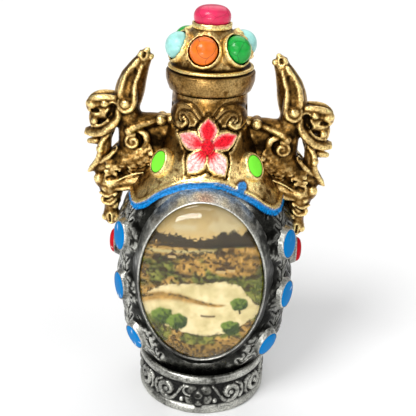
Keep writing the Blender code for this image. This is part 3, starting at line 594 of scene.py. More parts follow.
LOWER_RIM = ((0.7, 0.0), (0.25, 0.15), (0.03, 0.6), (0.0, 1.1), (0.04, 1.6), (0.3, 2.05))
UPPER_RIM = ((0.3, -2.05), (0.04, -1.6), (0.0, -1.1), (0.06, -0.55), (0.35, -0.12), (0.75, 0.0))
INNER_LEAF = ((-2.9, -0.4), (-3.9, 1.4), (-4.6, 2.3))
OUTER_LEAF = ((2.0, 2.2), (3.3, 1.2), (3.6, -0.9), (2.9, -2.3))
LOBES = ((-1.8, 1.5, 1.6), (2.0, 1.4, 1.6), (-2.0, -1.4, 1.55), (0.1, -2.2, 1.3), (2.2, -1.3, 1.5))


def profile_steps(radius, level, steps):
    """Profile points given as (how far inside the radius, how far above the level)."""
    return [(radius - cut, level + rise) for cut, rise in steps]


def band_relief(arc, up):
    """Height of the scrolls, rosettes and balls of the foot's band, by arc and height from its middle."""
    quarter = FOOT_RADIUS * TAU / 4
    s = np.mod(arc + quarter / 2, quarter) - quarter / 2
    height = np.zeros(s.shape)

    def raised(more):
        return np.maximum(height, more)

    def ball(at_s, at_z, radius, tall):
        return tall * np.sqrt(np.clip(1 - (np.hypot(s - at_s, up - at_z) / radius) ** 2, 0, 1))

    def ridge(points, half, tall):
        reach, along = near_path(s, up, smooth_path(points))
        width = half * (0.45 + 0.55 * np.sin(np.clip(along, 0.04, 0.96) * math.pi) ** 0.5)
        return tall * np.sqrt(np.clip(1 - (reach / width) ** 2, 0, 1))

    height = raised(ball(0.0, 0.1, 1.6, 0.95))
    for lobe_s, lobe_z, radius in LOBES:
        height = raised(ball(lobe_s, lobe_z, radius, 0.85))
    height = raised(ridge([(-2.0, -0.2), (-3.1, 0.1), (-3.7, 1.1), (-3.3, 2.1), (-2.4, 2.4)], 0.6, 0.7))
    for side in (LEFT, RIGHT):
        centre = side * FOOT_RADIUS * math.radians(30)
        scroll = []
        for i in range(15):
            share = i / 14
            swing = math.radians(-160) + share * math.radians(400)
            reach = 2.65 * (1 - 0.62 * share)
            scroll.append((centre + side * reach * math.cos(swing), reach * math.sin(swing)))
        height = raised(ridge(scroll, 0.78, 0.9))
        height = raised(ball(centre + side * 0.15, 0.0, 0.85, 0.95))
        for leaf, half, tall in ((INNER_LEAF, 0.45, 0.7), (OUTER_LEAF, 0.5, 0.75)):
            height = raised(ridge([(centre + side * leaf_s, leaf_z) for leaf_s, leaf_z in leaf], half, tall))
        height = raised(ball(centre - side * 4.1, -1.9, 0.7, 0.7))
    return height


def foot_piece():
    inner, band = FOOT_RADIUS - 1.3, FOOT_RADIUS - BAND_DEPTH
    rows_on_band, columns = 34, 420
    profile = [(0.01, 0.0), (inner - 2, 0.0)] + profile_steps(FOOT_RADIUS, 0.0, LOWER_RIM)
    on_band = slice(len(profile), len(profile) + rows_on_band)
    for z in np.linspace(FOOT_RIM + 0.25, FOOT_HEIGHT - FOOT_RIM - 0.25, rows_on_band):
        profile.append((band - 0.05, z))
    profile += profile_steps(FOOT_RADIUS, FOOT_HEIGHT, UPPER_RIM)
    profile += profile_steps(inner, FOOT_HEIGHT, ((-0.25, -0.05), (0.0, -0.35)))
    profile += profile_steps(inner, GROOVE_Z, ((0.05, 0.1), (2.2, 0.0)))
    profile = np.array(profile)
    turn = round_turns(columns)
    arc = np.broadcast_to((turn + math.pi / 2) * FOOT_RADIUS, (rows_on_band, columns))
    radius = np.repeat(profile[:, :1], columns, 1)
    height = np.repeat(profile[:, 1:], columns, 1)
    relief = band_relief(arc, height[on_band] - FOOT_HEIGHT / 2)
    radius[on_band] += np.minimum(relief, FOOT_RADIUS - 0.02 - radius[on_band])
    rim = np.ones((len(profile), 1), bool)
    rim[on_band] = False
    rim[:3] = False
    dent = 0.12 * (clouds(turned(radius, height, turn), 2.5, 60, 2) - 0.75)
    radius = np.where(rim, np.minimum(radius + dent, FOOT_RADIUS), radius)
    mesh = mesh_of("foot_ring", turned(radius, height, turn))
    antique(mesh, SILVER + np.array([[0.02], [0.0], [0.0]]), 61, -0.6, 0.4)
    place("foot_ring", mesh, METAL, "antique_silver", "bottle_body")


# Frames, pictures and glass

PICTURE_FACE_Y, PICTURE_BACK_Y = 13.99, 13.62


def body_depth(x, z):
    """Distance of the plain body's outside from the middle plane."""
    width, depth, square = section(z)
    return depth * np.clip(1 - np.abs(x / width) ** square, 0, 1) ** (1 / square)


def frame_pieces():
    """The collar of each oval: a thin lip over the glass, and a flank running out into the body."""
    columns = 300
    turn = round_turns(columns)
    across, up = np.cos(turn), np.sin(turn)
    lip = ((0.0, -2.0), (0.0, -0.5), (0.03, -0.2), (0.1, -0.04), (0.2, 0.0), (0.3, -0.04), (0.38, -0.16))
    flank = 14
    flare = 1.35 - 1.2 * np.clip(up, 0, 1) ** 2
    foot_x, foot_z = (OVAL_HALF_X + flare) * across, (OVAL_HALF_Z + flare) * up
    foot_y = body_depth(foot_x, OVAL_Z + foot_z) - 0.3
    start_x, start_z = (OVAL_HALF_X - LIP_X + 0.38) * across, (OVAL_HALF_Z - LIP_Z + 0.38) * up
    for k, face in enumerate((FRONT, BACK)):
        rings = [((OVAL_HALF_X - LIP_X + grow) * across, np.full(columns, FRAME_Y + out),
                  (OVAL_HALF_Z - LIP_Z + grow) * up) for grow, out in lip]
        for i in range(1, flank + 1):
            share = i / flank
            rings.append((start_x + (foot_x - start_x) * share,
                          foot_y + (FRAME_Y - 0.16 - foot_y) * (1 - share) ** 1.2,
                          start_z + (foot_z - start_z) * share))
        points = np.array([np.stack([x, y, OVAL_Z + z], -1) for x, y, z in rings])
        row = np.arange(len(points))[:, None]
        on_flank = ease(6, 9, row.astype(float))
        points[..., 1] += on_flank * 0.45 * (clouds(points, 1.8, 71 + k, 2) - 0.6)
        points[..., 1] *= face
        mesh = mesh_of(face_name(face) + "_frame", points)
        face_out(mesh, face)
        # Darker along the lip's top; a painted highlight makes the frame lighter towards the top of the oval
        wear_and_light = np.where((row >= 3) & (row <= 5), -0.75, -0.2) + 1.15 * np.clip(up, 0, 1)[None, :] ** 2
        antique(mesh, SILVER, 72 + k, wear_and_light.ravel(), 0.2)
        place(face_name(face) + "_oval_frame", mesh, METAL, "antique_silver", "bottle_body")


# Places in the painted landscape, from -1 to 1 across and up the oval
PLAIN = ((-1, 0.52), (0, 0.50), (1, 0.55))
SHORE = ((-1, -0.28), (-0.8, -0.10), (-0.5, -0.02), (-0.1, 0.02), (0.35, 0.06), (0.62, 0.0), (0.8, -0.16),
         (1, -0.3))
NEAR_BANK = ((-1, -0.35), (-0.7, -0.52), (-0.3, -0.66), (0.1, -0.70), (0.5, -0.64), (0.8, -0.45), (1, -0.3))
# Hedges: height, sway, phase, strength
HEDGES = ((0.36, 0.05, 0.5, 0.85), (0.27, 0.07, 2.0, 0.6), (0.11, 0.05, 4.1, 0.8))
# Huts: place across, height, half width
HUTS = ((-0.48, 0.33, 0.07), (0.30, 0.17, 0.08), (0.47, 0.19, 0.06))
# Round trees: place across, height, size
TREES = ((0.62, -0.24, 0.13), (-0.62, -0.44, 0.17), (-0.38, -0.50, 0.16), (0.50, -0.56, 0.15))


def laid(colour, over, share):
    """A paint laid over what is there."""
    return mix(colour, over, np.clip(share, 0, 1))


def bank(line, x, soft, fine, sway):
    """Height of a wavy line across the picture."""
    return np.interp(x, *np.array(line).T) + sway * (soft - 0.5) + 0.02 * (fine - 0.5)


def ochre_ground(fine):
    return mix((0.34, 0.22, 0.07), (0.60, 0.41, 0.16), ease(0.3, 0.7, fine))


def painted_land(x, z, place_at, seed, soft, fine, grit):
    """A warm sky with a bank of cloud, over a plain of meadow and ochre ground with woods and hedges."""
    colour = mix((0.85, 0.58, 0.24), (0.74, 0.60, 0.34), ease(0.45, 0.9, z + 0.3 * soft))
    colour = laid(colour, (0.80, 0.72, 0.52), 0.8 * ease(0.48, 0.62, soft) * ease(0.60, 0.70, z))
    colour = laid(colour, (0.30, 0.20, 0.10), 0.25 * ease(0.80, 0.95, z + 0.2 * fine))
    plain = bank(PLAIN, x, soft, fine, 0.05)
    meadow = mix((0.10, 0.13, 0.03), (0.33, 0.34, 0.10), ease(0.3, 0.7, fine))
    green_share = ease(0.44, 0.54, clouds(place_at, 5.0, seed + 9, 3) + 0.06 * x)
    colour = mix(colour, mix(ochre_ground(fine), meadow, green_share), ease(0.01, -0.01, z - plain))
    wood_rise = 0.13 * ease(-0.2, 0.9, np.abs(x + 0.1)) * (0.5 + noise(place_at * (1, 0, 1), 1.3, seed + 2))
    wood_top = plain + 0.035 + wood_rise + 0.09 * (grit - 0.5)
    wood = ease(0.012, -0.012, z - wood_top) * ease(-0.03, 0.0, z - plain + 0.04)
    colour = laid(colour, (0.035, 0.028, 0.014), 0.93 * wood * ease(0.25, 0.45, grit + 0.2 + 0.3 * x))
    far_water = bell(z - 0.415 - 0.02 * np.sin(3 * x), 0.022) * ease(0.75, 0.4, np.abs(x + 0.35))
    colour = laid(colour, (0.55, 0.52, 0.33), 0.9 * far_water)
    for hedge_z, sway, phase, strength in HEDGES:
        line = bell(z - hedge_z - sway * np.sin(3.2 * x + phase) - 0.03 * (fine - 0.5), 0.030)
        colour = laid(colour, (0.030, 0.028, 0.012), strength * line * ease(0.34, 0.5, grit))
    return colour


def painted_lake(colour, x, z, soft, fine, grit):
    """Lays a pale lake with a spit of land across it, and says where the lake lies."""
    shore, near = bank(SHORE, x, soft, fine, 0.10), bank(NEAR_BANK, x, soft, fine, 0.08)
    lake = ease(0.008, -0.008, z - shore) * ease(-0.008, 0.008, z - near)
    water = mix((0.62, 0.55, 0.34), (0.82, 0.74, 0.54), ease(0.3, 0.7, soft + 0.25 * (fine - 0.5)))
    colour = mix(colour, water, 0.96 * lake)
    spit_z = -0.22 - 0.05 * np.sin(4 * x + 0.6) - 0.03 * (fine - 0.5)
    spit = bell(z - spit_z, 0.012 + 0.045 * ease(0.5, -0.9, x)) * ease(0.45, 0.3, x)
    colour = mix(colour, ochre_ground(fine), np.clip(spit * 1.4, 0, 1) * lake)
    reeds = bell(z - spit_z - 0.02, 0.014) * ease(0.42, 0.25, x) * ease(0.46, 0.56, grit)
    colour = laid(colour, (0.06, 0.05, 0.02), 0.9 * lake * reeds)
    for line, strength in ((shore, 0.9), (near, 0.75)):
        colour = laid(colour, (0.07, 0.05, 0.02), strength * bell(z - line, 0.020) * ease(0.44, 0.58, grit))
    return colour, lake


def painted_figures(colour, x, z, fine, grit):
    """Lays the huts, a boat and the round trees on the near bank."""
    for hut_x, hut_z, wide in HUTS:
        low = z - hut_z
        wall = ease(0, 0.012, wide - np.abs(x - hut_x)) * ease(0, 0.01, 0.022 - np.abs(low))
        roof = ease(0, 0.015, wide * 1.3 * (1 - (low - 0.02) / 0.045) - np.abs(x - hut_x))
        colour = laid(colour, (0.55, 0.44, 0.25), wall)
        colour = laid(colour, (0.10, 0.06, 0.03), roof * (low > 0.015) * (low < 0.065))
    hull = bell(z + 0.42 - 0.6 * (x - 0.12) ** 2, 0.014) * ease(0.13, 0.11, np.abs(x - 0.12))
    colour = laid(colour, (0.12, 0.07, 0.03), 0.9 * hull)
    for tree_x, tree_z, size in TREES:
        stem = ease(0.022, 0.010, np.abs(x - tree_x - 0.02 * np.sin(30 * z)))
        colour = laid(colour, (0.07, 0.05, 0.02), stem * (z < tree_z) * (z > tree_z - size))
        crown = np.hypot((x - tree_x) * 0.9, (z - tree_z) * 1.45) - size * (0.66 + 0.62 * fine)
        lit = ease(0.3, 0.75, grit + 0.35 * (z - tree_z) / size - 0.2 * (x - tree_x) / size)
        leaf = mix((0.045, 0.085, 0.022), (0.24, 0.33, 0.08), lit)
        colour = mix(colour, leaf, ease(0.01, -0.015, crown))
    return colour


def landscape(x, z, seed):
    """A painted lake landscape: x and z run from -1 to 1 across and up the oval."""
    place_at = np.stack([x * 13, z * 20, np.full(x.shape, seed * 3.7)], -1)
    soft, fine = clouds(place_at, 4.0, seed, 4), clouds(place_at, 0.9, seed + 5, 3)
    grit = clouds(place_at, 0.45, seed + 6, 2)
    colour = painted_land(x, z, place_at, seed, soft, fine, grit)
    colour, lake = painted_lake(colour, x, z, soft, fine, grit)
    # Small dark shrubs scattered over the land
    shrubs = ease(0.56, 0.62, clouds(place_at, 0.62, seed + 13, 2)) * (1 - lake) * ease(0.50, 0.44, z)
    colour = laid(colour, (0.06, 0.035, 0.012), 0.8 * shrubs)
    colour = painted_figures(colour, x, z, fine, grit)
    # Rough ground along the bottom
    rough_ground = mix((0.08, 0.05, 0.018), (0.36, 0.25, 0.08), ease(0.35, 0.65, grit))
    colour = mix(colour, rough_ground, ease(0.01, -0.01, z + 0.80 + 0.10 * (soft - 0.5)))
    # Toned down as a whole, and more so in the sky; a painted shadow of the frame's lip darkens the rim
    toned = 0.80 * np.clip(colour, 0, 1) ** 1.3 * (1.0, 0.96, 0.84)
    rim = ease(0.90, 1.0, np.hypot(x, z))
    return np.clip(toned * (1 - 0.34 * ease(0.35, 0.7, z) - 0.35 * rim)[..., None], 0, 1)


def picture_piece(name, face, seed):
    half_x, half_z = OVAL_HALF_X - LIP_X - 0.2, OVAL_HALF_Z - LIP_Z - 0.2
    rings, columns = 110, 330
    turn = round_turns(columns)
    share = np.linspace(0.004, 1, rings)[:, None]
    x, z = share * np.cos(turn), share * np.sin(turn)
    points = np.stack([half_x * x, np.full(x.shape, face * PICTURE_FACE_Y), OVAL_Z + half_z * z], -1)
    back = points[-1].copy()
    back[:, 1] = face * PICTURE_BACK_Y
    centre = back * np.array([0.01, 1, 0.01]) + np.array([0, 0, OVAL_Z * 0.99])
    points = np.concatenate([points, back[None], centre[None]])
    mesh = mesh_of(name, points)
    face_out(mesh, face, slice(rings * columns // 2))
    flat = points.reshape(-1, 3)
    tint = landscape(-face * flat[:, 0] / half_x, (flat[:, 2] - OVAL_Z) / half_z, seed)
    paint(mesh, tint, 0.0, 0.42)
    place(name, mesh, PAPER, "picture_paper", face_name(face) + "_picture")


def face_name(face):
    return "front" if face == FRONT else "back"


def glass_piece(name, face):
    half_x, half_z = OVAL_HALF_X - LIP_X - 0.15, OVAL_HALF_Z - LIP_Z - 0.15
    turn = round_turns(160)
    stations = [(0.01, 14.32), (0.5, 14.32), (0.97, 14.32), (0.995, 14.36), (1.0, 14.5), (0.998, 14.85),
                (0.985, 15.05)]
    for share in np.linspace(0.965, 0.01, 26):
        stations.append((share, 15.0 + 2.28 * (1 - share**2) ** 0.62))
    rings = [np.stack([half_x * share * np.cos(turn), np.full(turn.shape, face * y),
                       OVAL_Z + half_z * share * np.sin(turn)], -1) for share, y in stations]
    mesh = mesh_of(name, np.array(rings))
    face_out(mesh, face, slice(-10 * len(turn), None))
    place(name, mesh, GLASS, "clear_glass", face_name(face) + "_glass_dome")


# Studs

RED_Z = 38.4
GREEN_STUD = (10.0, 61.4)


def stud_rings(frame_at, half, stations):
    """Rings (share of the half sizes, height) standing on a place of the body."""
    turn = round_turns(56)
    return np.array([ring_at(frame_at, (half[0] * share, half[1] * share), out, turn)
                     for share, out in stations])


def stud_pieces():
    mound = ((1.25, -1.0), (1.16, -0.3), (1.08, 0.3), (1.01, 0.8), (0.98, 1.05), (0.95, 1.2), (0.92, 1.24),
             (0.90, 1.15), (0.89, 0.95), (0.5, 0.9), (0.01, 0.9))
    bezel = ((1.22, -1.0), (1.16, -0.3), (1.10, 0.3), (1.04, 0.8), (0.98, 1.15), (0.92, 1.33),
             (0.86, 1.36), (0.80, 1.26), (0.78, 1.0), (0.5, 0.95), (0.01, 0.95))
    pad = ((0.895, 0.95), (0.895, 1.12), (0.87, 1.26), (0.78, 1.38), (0.55, 1.45), (0.28, 1.48), (0.01, 1.49))
    small_pad = tuple((share * 0.875, out) for share, out in pad)
    tall_pad = ((0.895, 0.95), (0.90, 1.3), (0.85, 1.75), (0.72, 2.1), (0.5, 2.35), (0.25, 2.46), (0.01, 2.5))
    groups = {"silver": [], "gold": [], "blue": [], "green": [], "red": []}
    for face in (FRONT, BACK):
        for side in (LEFT, RIGHT):
            for x, z in BLUE_STUDS:
                at = body_frame(face_turn(side * x, z, face), z)
                groups["silver"].append(stud_rings(at, (3.0, 3.75), mound))
                groups["blue"].append(stud_rings(at, (3.0, 3.75), pad))
            x, z = GREEN_STUD
            at = body_frame(face_turn(side * x, z, face), z)
            groups["gold"].append(stud_rings(at, (2.55, 3.15), bezel))
            groups["green"].append(stud_rings(at, (2.55, 3.15), small_pad))
    for turn in (0.0, math.pi):
        at = body_frame(turn, RED_Z)
        groups["silver"].append(stud_rings(at, (2.75, 3.35), mound))
        groups["red"].append(stud_rings(at, (2.75, 3.35), tall_pad))
    for name, finish in (("silver", SILVER), ("gold", GOLD)):
        mesh = mesh_of(name + "_stud_mounts", *groups[name])
        antique(mesh, finish, 80, -0.6 if name == "silver" else -0.1, 0.3)
        place(name + "_stud_mounts", mesh, METAL, "antique_" + name, "bottle_body")
    for name, colour in (("blue", BLUE), ("green", GREEN), ("red", RED * 0.7)):
        mesh = mesh_of(name + "_enamel", *groups[name])
        flat, _ = read_points(mesh)
        shade = 0.88 + 0.24 * clouds(flat, 2.0, 90, 3)
        fleck = 0.7 * ease(0.90, 0.93, noise(flat, 0.8, 95))
        paint(mesh, mix(colour * shade[:, None], FLECK, fleck), 0.0, 0.16)
        place(name + "_enamel", mesh, ENAMEL, "antique_silver", "bottle_body")


# Stopper

FLANGE_R, FLANGE_H, BRIM_R, BRIM_H = 9.8, 4.6, 9.4, 0.9
DOME_R, DOME_H, COLLAR_R, COLLAR_H = 8.2, 7.4, 4.3, 1.2
STOPPER_Z = 77.3
DOME_Z = STOPPER_Z + FLANGE_H + BRIM_H
COLLAR_Z = DOME_Z + DOME_H
COLLAR_TOP = COLLAR_Z + COLLAR_H
STONE_R, STONE_RISE, STONE_LEVEL, CUP_H, PLUG = 2.95, 2.4, 0.46, 1.5, 8.0


# Profile of the stopper, as (how far inside a radius, how far above a level)
PLUG_STEPS = ((4.69, 0.0), (0.6, 0.0), (0.1, 0.3), (0.0, 0.8), (0.0, PLUG - 0.2), (-0.05, PLUG))
UNDERSIDE_STEPS = ((1.1, 0.0), (0.75, 0.12), (0.5, 0.7))
FLANGE_STEPS = ((0.24, 0.1 - 0.72 * FLANGE_H), (0.05, -0.55 * FLANGE_H), (0.0, -0.4 * FLANGE_H), (0.0, -0.9),
                (0.04, -0.68), (0.25, -0.5), (0.85, -0.42), (0.9, -0.2))
BRIM_STEPS = ((0.25, -0.08), (0.02, 0.08), (0.0, 0.3), (0.08, 0.5), (0.35, 0.66), (0.8, 0.7))
COLLAR_STEPS = ((0.1, 0.1 - COLLAR_H), (0.0, 0.3 - COLLAR_H), (0.0, -0.3), (0.12, -0.05), (0.35, 0.0),
                (0.5, -0.1), (0.52, -0.75), (COLLAR_R - 0.01, -0.78))
# Rings of a stone's cup and of the collar's claws: radius, height, share of the lobes
CUP_RINGS = ((4.15, -2.6, 0), (4.0, -0.9, 0), (3.80, -0.2, 0), (3.72, 0.3, 0.3), (3.70, 0.75, 0.7),
             (3.66, 1.1, 1), (3.56, 1.38, 1), (3.42, 1.48, 1), (3.29, 1.4, 0.6), (3.26, 1.0, 0),
             (3.25, 0.45, 0), (0.02, 0.42, 0))
CLAW_RINGS = ((4.25, -0.9, 0), (4.3, -0.5, 1), (4.28, 0.0, 1), (4.12, 0.12, 1), (3.9, -0.05, 0.5),
              (3.85, -0.5, 0))


def stone_frame(k):
    """Place and directions of one of the six stones on the dome."""
    turn = math.radians(-10) - math.pi / 2 + TAU * k / 6
    slope = math.atan2(DOME_R - COLLAR_R, DOME_H)
    outward = np.array([math.cos(turn), math.sin(turn), 0.0])
    normal = outward * math.cos(slope) + np.array([0, 0, math.sin(slope)])
    centre = outward * (DOME_R + (COLLAR_R - DOME_R) * STONE_LEVEL)
    centre[2] = DOME_Z + DOME_H * STONE_LEVEL
    level = np.array([-math.sin(turn), math.cos(turn), 0.0])
    return centre, normal, level, np.cross(normal, level)


def lathe(profile, columns):
    profile = np.array(profile)
    return turned(profile[:, :1], np.repeat(profile[:, 1:], columns, 1), round_turns(columns))


def stopper_turning():
    """The turned part of the stopper, with cast dents on its dome."""
    brim, dome_rows = STOPPER_Z + FLANGE_H, 40
    profile = profile_steps(4.7, STOPPER_Z - PLUG, PLUG_STEPS)
    profile += profile_steps(FLANGE_R, STOPPER_Z, UNDERSIDE_STEPS)
    profile += profile_steps(FLANGE_R, brim, FLANGE_STEPS)
    profile += profile_steps(BRIM_R, brim, BRIM_STEPS)
    on_dome = np.zeros((len(profile) + dome_rows + len(COLLAR_STEPS), 1))
    on_dome[len(profile):len(profile) + dome_rows] = 1.0
    for share in np.linspace(0, 1, dome_rows):
        bulge = 0.35 * math.sin(math.pi * share)
        profile.append((DOME_R + (COLLAR_R - DOME_R) * share + bulge - 0.05, DOME_Z + DOME_H * share - 0.02))
    points = lathe(profile + profile_steps(COLLAR_R, COLLAR_TOP, COLLAR_STEPS), 300)
    dents = clouds(points, 1.6, 101, 2) - 0.5
    slight = 0.1 * (dents - 0.4) * (points[..., 2] > STOPPER_Z + 0.2)
    relief = on_dome * 0.42 * dents + (1 - on_dome) * slight
    points = points + grid_normals(points) * relief[..., None]
    reach = np.hypot(points[..., 0], points[..., 1])
    points[..., :2] *= np.where(reach > FLANGE_R, FLANGE_R / np.maximum(reach, 1e-6), 1.0)[..., None]
    return points


def stopper_piece():
    turn = round_turns(96)
    lobes = 0.5 + 0.5 * np.cos(turn * 12)
    grids = [stopper_turning()]
    for k in range(6):
        rings = []
        for radius, out, wave in CUP_RINGS:
            wide = radius + 0.09 * wave * (lobes - 0.5)
            tall = out + 0.16 * wave * (lobes - 0.6)
            rings.append(ring_at(stone_frame(k), (wide, wide), tall, turn))
        grids.append(np.array(rings))
    grids.append(np.array([turned(radius - 0.1 * wave * (1 - lobes),
                                  COLLAR_TOP + out + 0.12 * wave * (lobes - 0.5), turn)
                           for radius, out, wave in CLAW_RINGS]))
    mesh = mesh_of("stopper_casting", *grids)
    flat, _ = read_points(mesh)
    # Darker up to the top of the flange, lighter above it
    wear_and_light = np.where(flat[:, 2] < STOPPER_Z + FLANGE_H - 0.3, -0.9, 0.45)
    antique(mesh, GOLD, 103, wear_and_light, 0.6)
    place("stopper_casting", mesh, METAL, "antique_gold", "stopper")


def stones():
    turn = round_turns(72)
    stations = [(0.01, 0.82), (0.9, 0.82), (1.0, 0.95), (1.0, CUP_H)]
    for share in np.linspace(0.985, 0.01, 18):
        stations.append((share, CUP_H + STONE_RISE * (1 - share**2) ** 0.62))
    for k, colour in enumerate(("orange", "green", "cyan", "orange", "green", "cyan")):
        rings = np.array([ring_at(stone_frame(k), (STONE_R * share, STONE_R * share), out, turn)
                          for share, out in stations])
        name = f"stopper_stone_{k + 1}_{colour}"
        mesh = mesh_of(name + "_cabochon", rings)
        place("polished_" + name, mesh, STONES[colour], colour + "_stone", name)
    profile = [(radius, COLLAR_TOP + out) for radius, out in (
        (0.01, -0.5), (3.4, -0.5), (3.5, -0.2), (3.62, 0.1), (3.86, 0.4), (3.96, 0.8))]
    for step in np.linspace(0, math.pi / 2, 24):
        profile.append((3.98 * max(math.cos(step), 0.002) ** 0.66, COLLAR_TOP + 1.3 + 2.28 * math.sin(step)))
    mesh = mesh_of("top_stone", lathe(profile, 96))
    place("polished_top_stone", mesh, STONES["pink"], "pink_stone", "top_stone_pink")


# Beast handles, drawn to the right as (outward from the axis, up from the hoof)

HOOF_Z = 43.6
# Each handle leans by a little about this place
LEAN_X, LEAN_Z, LEAN = 10.5, 70.0, math.radians(1.5)
SPIRAL_CENTRE = (16.8, 21.1)
CURL_COUNT = 110
# Limbs: stations with a radius each, fullness front to back
LIMBS = (
    (((14.2, 41.3, 0.7), (14.7, 40.2, 1.5), (15.2, 38.9, 1.8), (16.2, 37.0, 2.4), (17.1, 35.0, 2.95),
      (17.7, 33.0, 3.25), (18.2, 31.0, 3.25), (18.6, 28.6, 3.0), (18.2, 25.6, 2.8)), 0.95),
    (((18.2, 27.0, 2.8), (17.6, 23.6, 2.9), (17.4, 20.6, 3.0), (17.4, 17.0, 3.1)), 1.0),
    (((18.5, 29.4, 2.1), (21.6, 29.4, 1.5), (24.4, 29.2, 1.4), (26.0, 28.8, 1.4), (26.5, 27.6, 1.1)), 1.6),
    (((19.0, 27.8, 2.3), (22.2, 27.4, 2.3), (24.4, 26.8, 2.1), (25.6, 25.6, 1.6), (25.9, 24.2, 1.2)), 0.85),
    (((20.0, 28.8, 0.8), (20.1, 27.0, 1.25), (21.4, 24.9, 1.45), (23.5, 23.1, 1.35), (25.6, 22.5, 1.1),
      (27.6, 22.2, 0.6)), 2.1),
    (((22.0, 22.8, 0.9), (23.2, 20.6, 1.3), (23.5, 18.3, 1.45), (23.9, 16.4, 1.35), (24.9, 14.6, 1.05),
      (26.2, 13.1, 0.75), (27.4, 12.1, 0.35)), 1.4),
    (((23.6, 19.9, 0.8), (25.4, 19.9, 0.95), (27.1, 19.6, 0.6)), 1.5),
    (((7.0, 26.2, 1.3), (11.0, 26.0, 1.35), (13.6, 25.5, 1.8), (15.8, 24.9, 2.3), (18.0, 24.2, 2.5)), 1.1),
    (((8.0, 22.6, 3.0), (13.0, 21.6, 3.4), (17.6, 20.4, 2.6)), 0.38),
    (((11.0, 18.6, 2.5), (14.6, 17.8, 3.3), (18.2, 16.6, 3.4), (21.2, 15.0, 2.9), (23.6, 13.8, 2.0),
      (24.6, 12.4, 1.4)), 1.0),
    (((11.6, 14.6, 1.5), (14.6, 14.1, 1.9), (18.2, 13.4, 2.0)), 1.0),
    (((12.0, 11.4, 2.1), (15.6, 11.2, 2.15), (18.8, 10.8, 2.2), (22.0, 10.4, 2.6), (24.0, 10.4, 2.0)), 1.36),
    (((22.4, 10.6, 2.9), (22.0, 8.6, 2.85), (21.9, 6.6, 2.4), (21.9, 4.8, 1.95), (22.0, 3.2, 1.65),
      (22.0, 1.9, 1.95), (21.9, 0.6, 1.6)), 1.15),
)
# Balls: place, how far from the middle plane on both sides, radius
BALLS = (
    (15.5, 40.3, 0.9, 0.8), (13.4, 39.9, 0.5, 0.65), (14.4, 39.9, 0.9, 0.4), (14.7, 40.3, 0.55, 0.6),
    (18.5, 29.7, 2.85, 1.15),
    (23.2, 29.2, 2.1, 0.9), (26.2, 28.9, 1.4, 1.25), (25.6, 24.9, 1.5, 0.8), (24.3, 18.3, 2.15, 0.75),
    (10.7, 26.1, 1.4, 1.3), (24.6, 11.2, 1.6, 1.3), (23.0, 9.2, 2.4, 1.0), (20.9, 4.6, 1.4, 1.0),
    (23.4, 5.8, 1.3, 0.95), (23.2, 1.2, 1.0, 1.0), (20.8, 1.1, 1.0, 1.0), (16.9, 21.0, 2.9, 0.55),
)
# Ridges laid on both sides: points, reach from the middle plane, radius, or its start and end
RIDGES = (
    (((16.2, 39.0), (17.4, 37.3), (18.6, 35.6), (19.3, 33.6), (19.7, 32.0), (19.5, 30.6)),
     (1.5, 1.85, 2.1, 2.2, 2.3, 2.2), 0.85),
    (((15.2, 38.0), (15.8, 36.4), (16.5, 34.4), (16.6, 32.2), (16.6, 30.2), (17.3, 28.6), (18.6, 28.1),
      (19.7, 28.8), (19.9, 30.2)), (1.6, 2.0, 2.35, 2.6, 2.75, 2.8, 2.85, 2.7, 2.4), 0.72),
    (((21.2, 30.6), (23.4, 30.6), (25.4, 30.2), (26.8, 29.2), (27.1, 28.0)), (1.8, 1.9, 1.7, 1.3, 0.8), 0.85),
    (((20.2, 28.4), (20.2, 26.6), (21.3, 24.7), (23.4, 22.9), (25.7, 22.0), (27.5, 21.9)),
     (2.1, 2.4, 2.6, 2.4, 1.8, 1.0), 0.95),
    (((21.6, 26.9), (22.7, 25.2), (24.4, 24.1), (26.4, 23.7)), (2.1, 2.2, 2.1, 1.6), 0.4),
    (((22.6, 22.0), (23.9, 20.0), (24.3, 17.8), (24.8, 15.8), (25.8, 14.2), (27.0, 12.8)),
     (1.4, 1.75, 1.8, 1.6, 1.0, 0.5), 0.75),
    (((17.7, 23.5), (16.2, 24.4), (14.4, 25.1), (12.6, 25.7), (11.8, 26.0)),
     (2.6, 2.3, 1.9, 1.6, 1.4), (1.1, 0.55)),
    (((24.2, 15.2), (23.0, 16.4), (21.6, 17.6), (20.4, 19.4)), (1.8, 2.3, 2.7, 2.7), 0.55),
    (((13.2, 13.9), (15.6, 13.5), (18.0, 12.7), (20.3, 11.4)), (2.6, 2.9, 3.0, 3.0), 0.28),
    (((23.8, 19.1), (24.7, 19.1), (25.1, 18.2), (24.6, 17.4), (23.8, 17.5)), (1.7, 1.6, 1.5, 1.6, 1.7), 0.3),
    (((12.8, 9.9), (15.6, 9.8), (18.6, 9.5), (21.0, 9.2)), (2.3, 2.4, 2.5, 2.6), 0.75),
    (((20.4, 8.0), (22.2, 7.2), (24.3, 7.9)), (2.9, 2.95, 2.4), 0.45),
    (((20.6, 6.2), (21.8, 5.2), (23.4, 5.4), (23.8, 6.5), (22.9, 7.0)), (2.2, 2.4, 2.2, 2.1, 2.3), 0.42),
    (((15.6, 23.6), (14.1, 22.8), (13.6, 21.2), (14.2, 19.7), (15.6, 18.9)), (2.2, 2.1, 2.1, 2.3, 2.6), 0.85),
)
